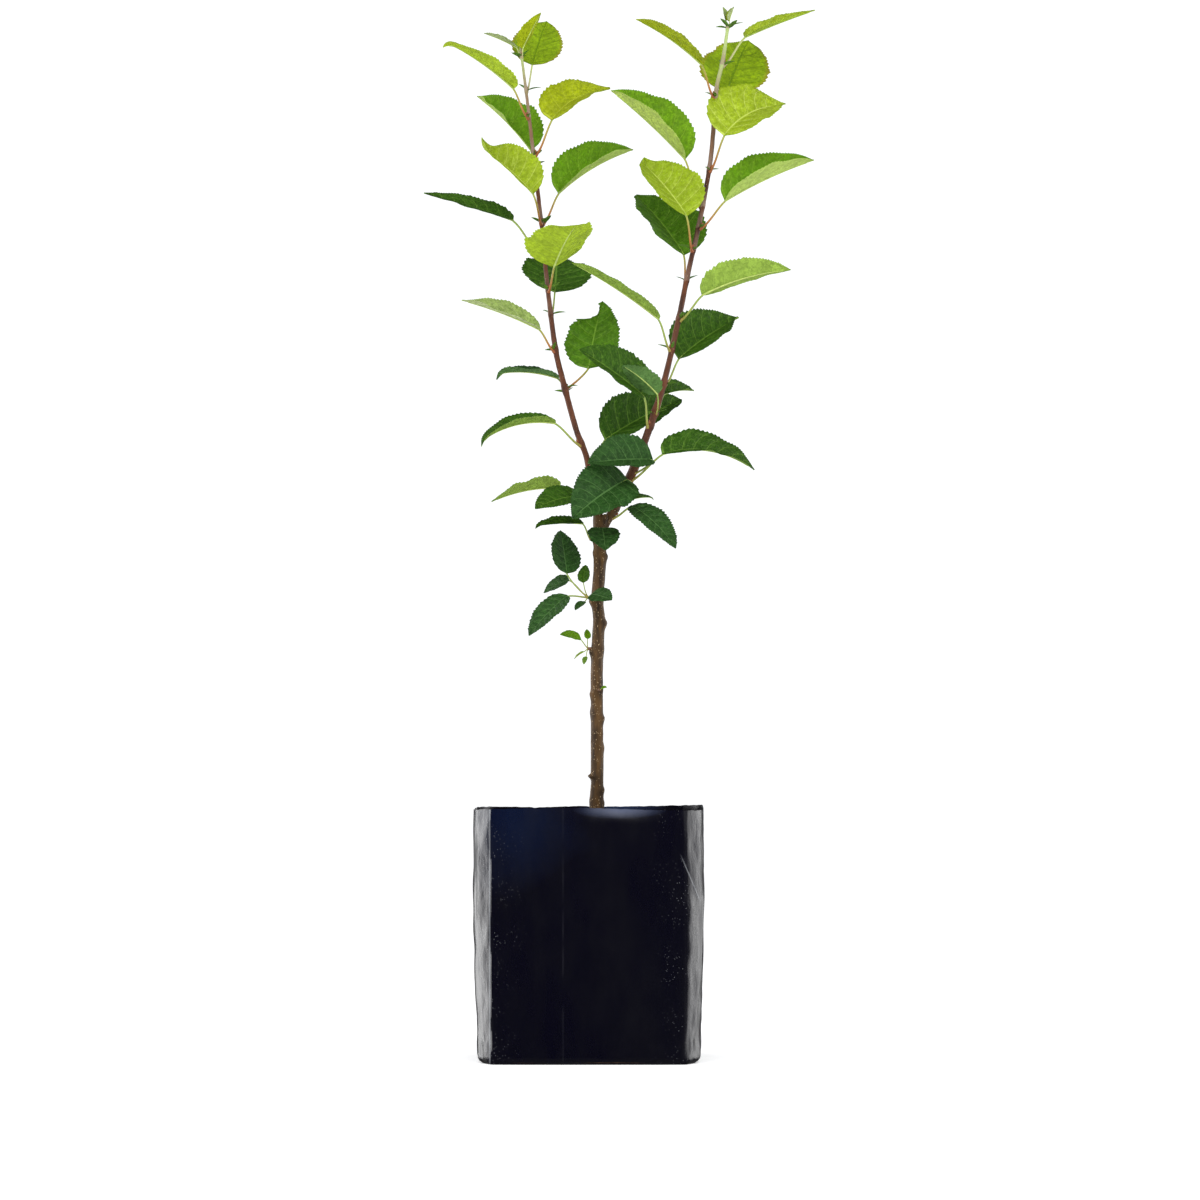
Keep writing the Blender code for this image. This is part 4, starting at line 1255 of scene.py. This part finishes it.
def bagPlan():
    # a quarter of the plan, from the middle of the front to the middle of the right side, as
    # points with the half width as 1: with a sharp fold at its corner, and with a soft one
    def turnAt(place, crease):
        length, cheek = bag["cheek"]
        turn = bag["shoulder"] * easing((place - 40) / (bag["foldAt"] - 45))
        turn = turn + bag["foldTurn"] * easing((place - bag["foldAt"]) / crease + 0.5)
        turn = turn + cheek * easing((place - bag["foldAt"]) / length)
        rest = 90 - bag["shoulder"] - bag["foldTurn"] - cheek
        return turn + rest * easing((place - bag["foldAt"] - length * 0.7) / bag["round"])
    plans = {}
    for name, crease in (("sharp", bag["crease"]), ("soft", bag["softCrease"])):
        places = np.linspace(0, bag["planLength"], bag["planSteps"] + 1)
        turn = np.radians(turnAt(places, crease))
        step = places[1] - places[0]
        x = np.concatenate([[0], np.cumsum(np.cos(turn))[:-1] * step])
        y = np.concatenate([[0], np.cumsum(np.sin(turn))[:-1] * step])
        last = int(np.argmax(y >= x[-1]))
        plans[name] = (x[:last + 1] / x[last], y[:last + 1] / y[last] - 1.0)
    return plans


def bagRing(plans, count):
    # unit points right round the plan, anticlockwise from the middle of the front
    points = []
    quarter = count // 4
    for corner, (mirrorX, mirrorY, name) in enumerate(((1, 1, "soft"), (1, -1, "sharp"),
                                                       (-1, -1, "sharp"), (-1, 1, "sharp"))):
        x, y = plans[name]
        reach = np.concatenate([[0], np.cumsum(np.hypot(np.diff(x), np.diff(y)))])
        even = np.linspace(0, reach[-1], quarter + 1)
        shares = even if corner in (0, 2) else even[::-1]
        shares = shares[:-1]
        points += list(zip(np.interp(shares, reach, x) * mirrorX,
                           np.interp(shares, reach, y) * mirrorY))
    return points


def bagWidth(share):
    return bag["footWidth"] + (bag["width"] - bag["footWidth"]) * min(1.0, share
                                                                     * bag["widening"])


def filmPoint(unitX, unitY, share):
    # a place on the film, by its place in the plan and its share of the height
    height = bag["height"] * share
    width = bagWidth(share) + bag["bulge"] * math.sin(math.pi * share)
    depth, upTo = bag["tuck"]
    tuck = depth * (1 - min(1.0, height / upTo)) ** 2
    # it narrows below beyond the folds alone, which run down plumb
    inset = (bag["width"] - width) / 2 + tuck
    inset *= easing((abs(unitX) - bag["plumbTo"]) / (1 - bag["plumbTo"]))
    x = unitX * bag["width"] / 2 - math.copysign(inset, unitX)
    y = unitY * (width / 2 - tuck)
    swing = math.atan2(y, x)
    out = Vector((unitX, unitY, 0)).normalized()
    # dents, pleats, and crumples near the foot
    level, upright, depth = bag["dent"]
    spot = Vector((x * level, y * level, height * upright))
    finer, fineDepth = bag["fineDent"]
    push = noise.noise(spot) * depth
    push += noise.noise(spot * finer + Vector((7, 0, 0))) * fineDepth
    level, upright, depth = bag["pleat"]
    push += noise.noise(Vector((swing * level, 3, height * upright))) * depth
    level, upright, depth = bag["crumple"]
    middle, spread = bag["crumpleAt"]
    low = math.exp(-((height - middle) / spread) ** 2)
    push += noise.noise(Vector((swing * level, height * upright, 9))) * depth * low
    ease = min(1.0, height / bag["settled"])
    push = push * ease - bag["setBack"]
    # the lip
    lip = max(0.0, (height - bag["lipFrom"]) / (bag["height"] - bag["lipFrom"]))
    depth, middle, spread = bag["flare"]
    flare = math.exp(-((x - middle) / spread) ** 2) if y < 0 else 0
    push -= lip ** 1.5 * depth * flare + lip ** 2 * bag["lip"]
    # the corners' crinkles
    middle, spread = bag["crinkleAt"]
    corner = math.exp(-((abs(x) - middle) / spread) ** 2)
    level, upright = bag["crinkle"]
    crinkle = noise.noise(Vector((x * level, y * level, height * upright)))
    push += corner * crinkle * bag["crinkleDepth"][1 if x > 0 else 0] * ease
    # the rim's waves, its lower back and its ragged edge
    part = max(0.0, (share - bag["rimFrom"]) / (1 - bag["rimFrom"]))
    rise = height + part * bag["rimWave"] * (math.sin(swing * 3 + 0.6) - 1)
    if y > 0:
        drop, start, spread = bag["backDrop"]
        rise -= part * drop * easing((-x - start) / spread)
    pace, depth, most = bag["ragged"]
    rise += part ** 4 * min(most, noise.noise(Vector((swing * pace, 1, 0))) * depth)
    return Vector((x, y, rise)) + out * push


def bagMesh(skin):
    ring = bagRing(bagPlan(), bag["columns"])
    work = bmesh.new()
    rows = [[work.verts.new(filmPoint(x, y, row / bag["rows"]) * mm) for x, y in ring]
            for row in range(bag["rows"] + 1)]
    for vertex in rows[0]:
        vertex.co.z = 0.0
    # the flat underside starts with a ring a little way in
    rows.insert(0, [work.verts.new(vertex.co * bag["footRing"]) for vertex in rows[0]])
    strakes(work, rows)
    foot = work.faces.new(list(reversed(rows[0])))
    foot.normal_update()
    bmesh.ops.triangulate(work, faces=[foot])
    host = placed("bag_film", meshOf("bag_film", work))
    wall = host.modifiers.new("film", "SOLIDIFY")
    wall.thickness = bag["film"] * mm
    wall.offset = -1.0
    made = settled(host, "bag_film")
    made.materials.clear()
    made.materials.append(skin)
    made.shade_smooth()
    made.set_sharp_from_angle(angle=math.radians(bag["sharp"]))
    return made


def bagMaterial():
    finish = Finish("bag_film", {"Specular IOR Level": 0.4, "IOR": 1.5})
    spot = finish.spot()
    height = finish.height()
    cloud = finish.noise(bag["cloud"], 4.0) - 0.5
    far = finish.between("DISTANCE", spot, dimmed(bag["navyAt"], mm))
    near = finish.span(far + cloud * bag["navyUneven"], 0.0, bag["navyReach"] * mm, 1.0, 0.0)
    base = finish.blend(near, bag["colour"], bag["navy"])
    # a painted bluish highlight under the front of the turned lip, where the film would catch the
    # top light
    reach = finish.between("DISTANCE", finish.place((1, 0, 5)), bag["paintedHighlightAt"])
    paintedHighlight = finish.span(reach + cloud * bag["paintedHighlightUneven"], *bag["paintedHighlightEdge"], 0.0)
    base = finish.blend(paintedHighlight, base, bag["paintedHighlight"])
    # dust near both sides
    right = finish.part(spot, "X")
    across = finish.plain("ABSOLUTE", right)
    scale, edge, patch, patchEdge, beside = bag["dust"]
    dust = finish.span(finish.cells(scale, "F1"), *edge)
    dust = dust * finish.span(finish.noise(patch, 2.0), *patchEdge) * finish.span(across, *beside)
    # a scuffed fold on the right of the front
    (x1, z1), (x2, z2) = bag["streakAt"]
    length = math.hypot(x2 - x1, z2 - z1)
    slant = ((z1 - z2) / length, 0.0, (x2 - x1) / length)
    offset = (x1 * slant[0] + z1 * slant[2]) * mm
    streak = finish.line(finish.between("DOT_PRODUCT", spot, slant) - offset, 0.0002, 0.0007)
    streak = streak * finish.span(height, (z2 - 3) * mm, (z2 + 6) * mm)
    streak = streak * finish.span(height, (z1 - 8) * mm, (z1 + 4) * mm, 1.0, 0.0)
    front = finish.span(finish.part(spot, "Y"), *bag["front"], 1.0, 0.0)
    streak = streak * front * finish.span(right, 0.06, 0.065)
    # the left fold is worn pale along its edge, and a fine crease runs down the front
    worn = finish.line(right - bag["foldMark"] * mm, 0.0003, 0.0008) * front
    crease = finish.line(right - bag["creaseMark"] * mm, 0.0002, 0.0008) * front
    crease = crease * finish.span(finish.noise(40.0, 2.0), 0.35, 0.6)
    shares = bag["shares"]
    scuffs = dust * shares["dust"] + streak * shares["streak"] + worn * shares["fold"]
    base = finish.blend(scuffs + crease * shares["crease"], base, bag["scuff"])
    smear = finish.noise(bag["smear"], 5.0, (1, 1, 0.3), 0.65)
    rough = finish.span(smear, 0.3, 0.75, *bag["roughness"])
    # fine wrinkles in the folded cheeks
    scale, detail, depth = bag["wrinkle"]
    folds = finish.noise(scale, detail, (1, 1, 0.5), 0.6)
    folds = folds * finish.span(across, *bag["cheekFrom"]) * front * depth
    relief = finish.noise(bag["ripple"], 4.0, (1, 1, 0.4)) + folds
    return finish.wear(base, rough, relief + streak * 0.3, *bag["relief"])


print("bag and potting mix")
piece("bag_film", bagMesh(bagMaterial()), ["planter_bag"])

mix = {
    "inset": 3.4, "side": (1.6, 26.0, 77.0, 136.0, 190.0),      # the heights of the side's rings
    "sunk": 1.6, "mound": 2.0, "lump": 1.6, "lumpScale": 0.09, "rings": 40, "edgeDrop": 1.5,
    "dark": screen(38, 26, 19), "light": screen(78, 56, 40), "gloss": 0.25, "grain": 120.0,
    "roughness": (0.8, 0.98), "relief": (0.8, 0.0015),
    "crumbReach": 88.0, "crumbLevel": 194.5, "crumbShade": 0.6,
}


def mixMesh(skin):
    ring = bagRing(bagPlan(), bag["columns"])
    work = bmesh.new()
    rings = []
    for height in mix["side"]:
        half = bagWidth(height / bag["height"]) / 2 - mix["inset"]
        rings.append([work.verts.new(Vector((x * half, y * half, height)) * mm)
                      for x, y in ring])
    half = bag["width"] / 2 - mix["inset"]
    for number in range(1, mix["rings"]):
        share = 1 - number / mix["rings"]
        verts = []
        for x, y in ring:
            spot = Vector((x * half * share, y * half * share, 0))
            lump = noise.fractal(spot * mix["lumpScale"], 1.0, 2.0, 4) * mix["lump"]
            height = limbs["soil"] - mix["sunk"] + mix["mound"] * (1 - share ** 3) + lump
            if number == 1:
                height -= mix["edgeDrop"]
            verts.append(work.verts.new(Vector((spot.x, spot.y, height)) * mm))
        rings.append(verts)
    strakes(work, rings)
    ends = [work.faces.new(rings[-1]), work.faces.new(list(reversed(rings[0])))]
    bmesh.ops.triangulate(work, faces=ends)
    mesh = meshOf("potting_mix", work)
    mesh.materials.append(skin)
    mesh.shade_smooth()
    return mesh


def mixMaterial(name, dark, light):
    finish = Finish(name, {"Specular IOR Level": mix["gloss"]})
    coarse = finish.noise(mix["grain"], 5.0, (1, 1, 1), 0.7)
    base = finish.blend(finish.span(coarse, 0.35, 0.65), dark, light)
    rough = finish.span(coarse, 0.3, 0.7, *mix["roughness"])
    return finish.wear(base, rough, coarse, *mix["relief"])


mixSkin = mixMaterial("potting_mix", mix["dark"], mix["light"])
piece("potting_mix_bed", mixMesh(mixSkin), ["potting_mix"])
work = bmesh.new()
bmesh.ops.create_grid(work, x_segments=12, y_segments=12, size=mix["crumbReach"] * mm)
for vertex in work.verts:
    vertex.co.z = mix["crumbLevel"] * mm
bedTop = meshOf("bedTop", work)
# crumbs: how many to a square metre, the smallest and largest, their shape, how far they turn
crumbKinds = (("crumbs_dark", 42000.0, (0.7, 2.0), (1.0, 0.75, 0.6), 1.0, 5,
               screen(50, 34, 24)),
              ("crumbs_light", 9000.0, (1.0, 2.6), (1.7, 0.5, 0.3), 0.35, 6,
               screen(104, 78, 54)))
for name, density, sizes, shape, spin, seed, colour in crumbKinds:
    skin = mixMaterial(name, dimmed(colour, mix["crumbShade"]), colour)
    crumbs = scatter.grow(name, bedTop.copy(), {"Density": density, "Smallest": sizes[0] * mm,
                                                "Largest": sizes[1] * mm, "Shape": shape,
                                                "Spin": spin, "Seed": seed, "Skin": skin})
    piece(name, crumbs)

print("floor, lights and camera")
studio = {
    "world": (0.97, 0.98, 1.0), "shine": 0.74, "inGloss": 0.1, "behind": 1.15,
    "floor": 30.0, "floorGlow": 0.42, "floorTones": (0.88, 0.90),
    "card": 4.5, "cardAt": (0, -7.5, 1.0), "cardColour": (0.01, 0.01, 0.015, 1),
    "lampsAim": (0.0, 0.0, 0.45),
    "eye": (0.0096, -5.5, 0.32), "frameWidth": 1.044, "frameCentre": 0.399, "film": 36.0,
}
work = bmesh.new()
bmesh.ops.create_circle(work, cap_ends=True, segments=96, radius=studio["floor"])
floor = placed("floor", meshOf("floor", work))
floorFinish = Finish("floor", {"Roughness": 0.9, "Specular IOR Level": 0.1,
                               "Emission Color": (1, 1, 1, 1),
                               "Emission Strength": studio["floorGlow"]})
darker, lighter = studio["floorTones"]
floorTone = floorFinish.ramp(floorFinish.noise(3.0, 2.0),
                             [(0.0, (darker,) * 3), (1.0, (lighter,) * 3)])
floor.data.materials.append(floorFinish.wear(floorTone))
floor.visible_glossy = False

# the studio's air is white where it is seen, softer where it lights, and dim in reflections
world = bpy.data.worlds.new("studio")
bpy.context.scene.world = world
world.use_nodes = True
sky = world.node_tree
rays = sky.nodes.new("ShaderNodeLightPath")
shown = sky.nodes["Background"]
mixed = shown
for outlet, strength in (("Is Glossy Ray", studio["inGloss"]),
                         ("Is Camera Ray", studio["behind"])):
    other = sky.nodes.new("ShaderNodeBackground")
    other.inputs["Strength"].default_value = strength
    other.inputs["Color"].default_value = (*studio["world"], 1.0)
    mixer = sky.nodes.new("ShaderNodeMixShader")
    sky.links.new(rays.outputs[outlet], mixer.inputs[0])
    sky.links.new(mixed.outputs[0], mixer.inputs[1])
    sky.links.new(other.outputs[0], mixer.inputs[2])
    mixed = mixer
shown.inputs["Color"].default_value = (*studio["world"], 1.0)
shown.inputs["Strength"].default_value = studio["shine"]
sky.links.new(mixed.outputs[0], sky.nodes["World Output"].inputs["Surface"])

# each lamp's place, width, height and power
lamps = {
    "key": ((-2.6, -3.4, 3.2), 2.4, 2.4, 62),
    "frontTop": ((0.3, -2.6, 3.0), 2.4, 1.6, 46),
    "rightFill": ((3.0, -2.2, 1.8), 1.6, 2.4, 20),
    "leftRim": ((-2.2, 0.75, 0.5), 3.0, 2.4, 108),
    "rightRim": ((2.2, 0.75, 0.5), 3.0, 2.4, 66),
}
inReflections = ("leftRim", "rightRim")         # these light only what shines
for name, (place, wide, tall, power) in lamps.items():
    lamp = bpy.data.lights.new(name, "AREA")
    lamp.shape = "RECTANGLE"
    lamp.size = wide
    lamp.size_y = tall
    lamp.energy = power
    holder = placed(name, lamp)
    holder.location = place
    aim = Vector(studio["lampsAim"]) - Vector(place)
    holder.rotation_euler = aim.to_track_quat("-Z", "Y").to_euler()
    holder.visible_diffuse = name not in inReflections

# a dark card behind the camera keeps the film's front black
work = bmesh.new()
bmesh.ops.create_grid(work, x_segments=1, y_segments=1, size=studio["card"])
bmesh.ops.rotate(work, verts=work.verts, cent=(0, 0, 0),
                 matrix=Matrix.Rotation(math.radians(90), 3, "X"))
bmesh.ops.translate(work, verts=work.verts, vec=studio["cardAt"])
flag = placed("dark_card", meshOf("card", work))
flag.data.materials.append(Finish("dark_card", {"Base Color": studio["cardColour"],
                                                "Roughness": 1.0,
                                                "Specular IOR Level": 0.0}).material)
flag.visible_camera = False
flag.visible_diffuse = False
flag.visible_shadow = False

camera = bpy.data.cameras.new("camera")
eye = placed("camera", camera)
eye.location = studio["eye"]
eye.rotation_euler = (math.radians(90), 0, 0)
camera.sensor_width = studio["film"]
camera.lens = studio["film"] * -studio["eye"][1] / studio["frameWidth"]
camera.shift_y = (studio["frameCentre"] - studio["eye"][2]) / studio["frameWidth"]
camera.clip_end = 100
bpy.context.scene.camera = eye
bpy.context.scene.view_settings.view_transform = "Standard"

print("done")
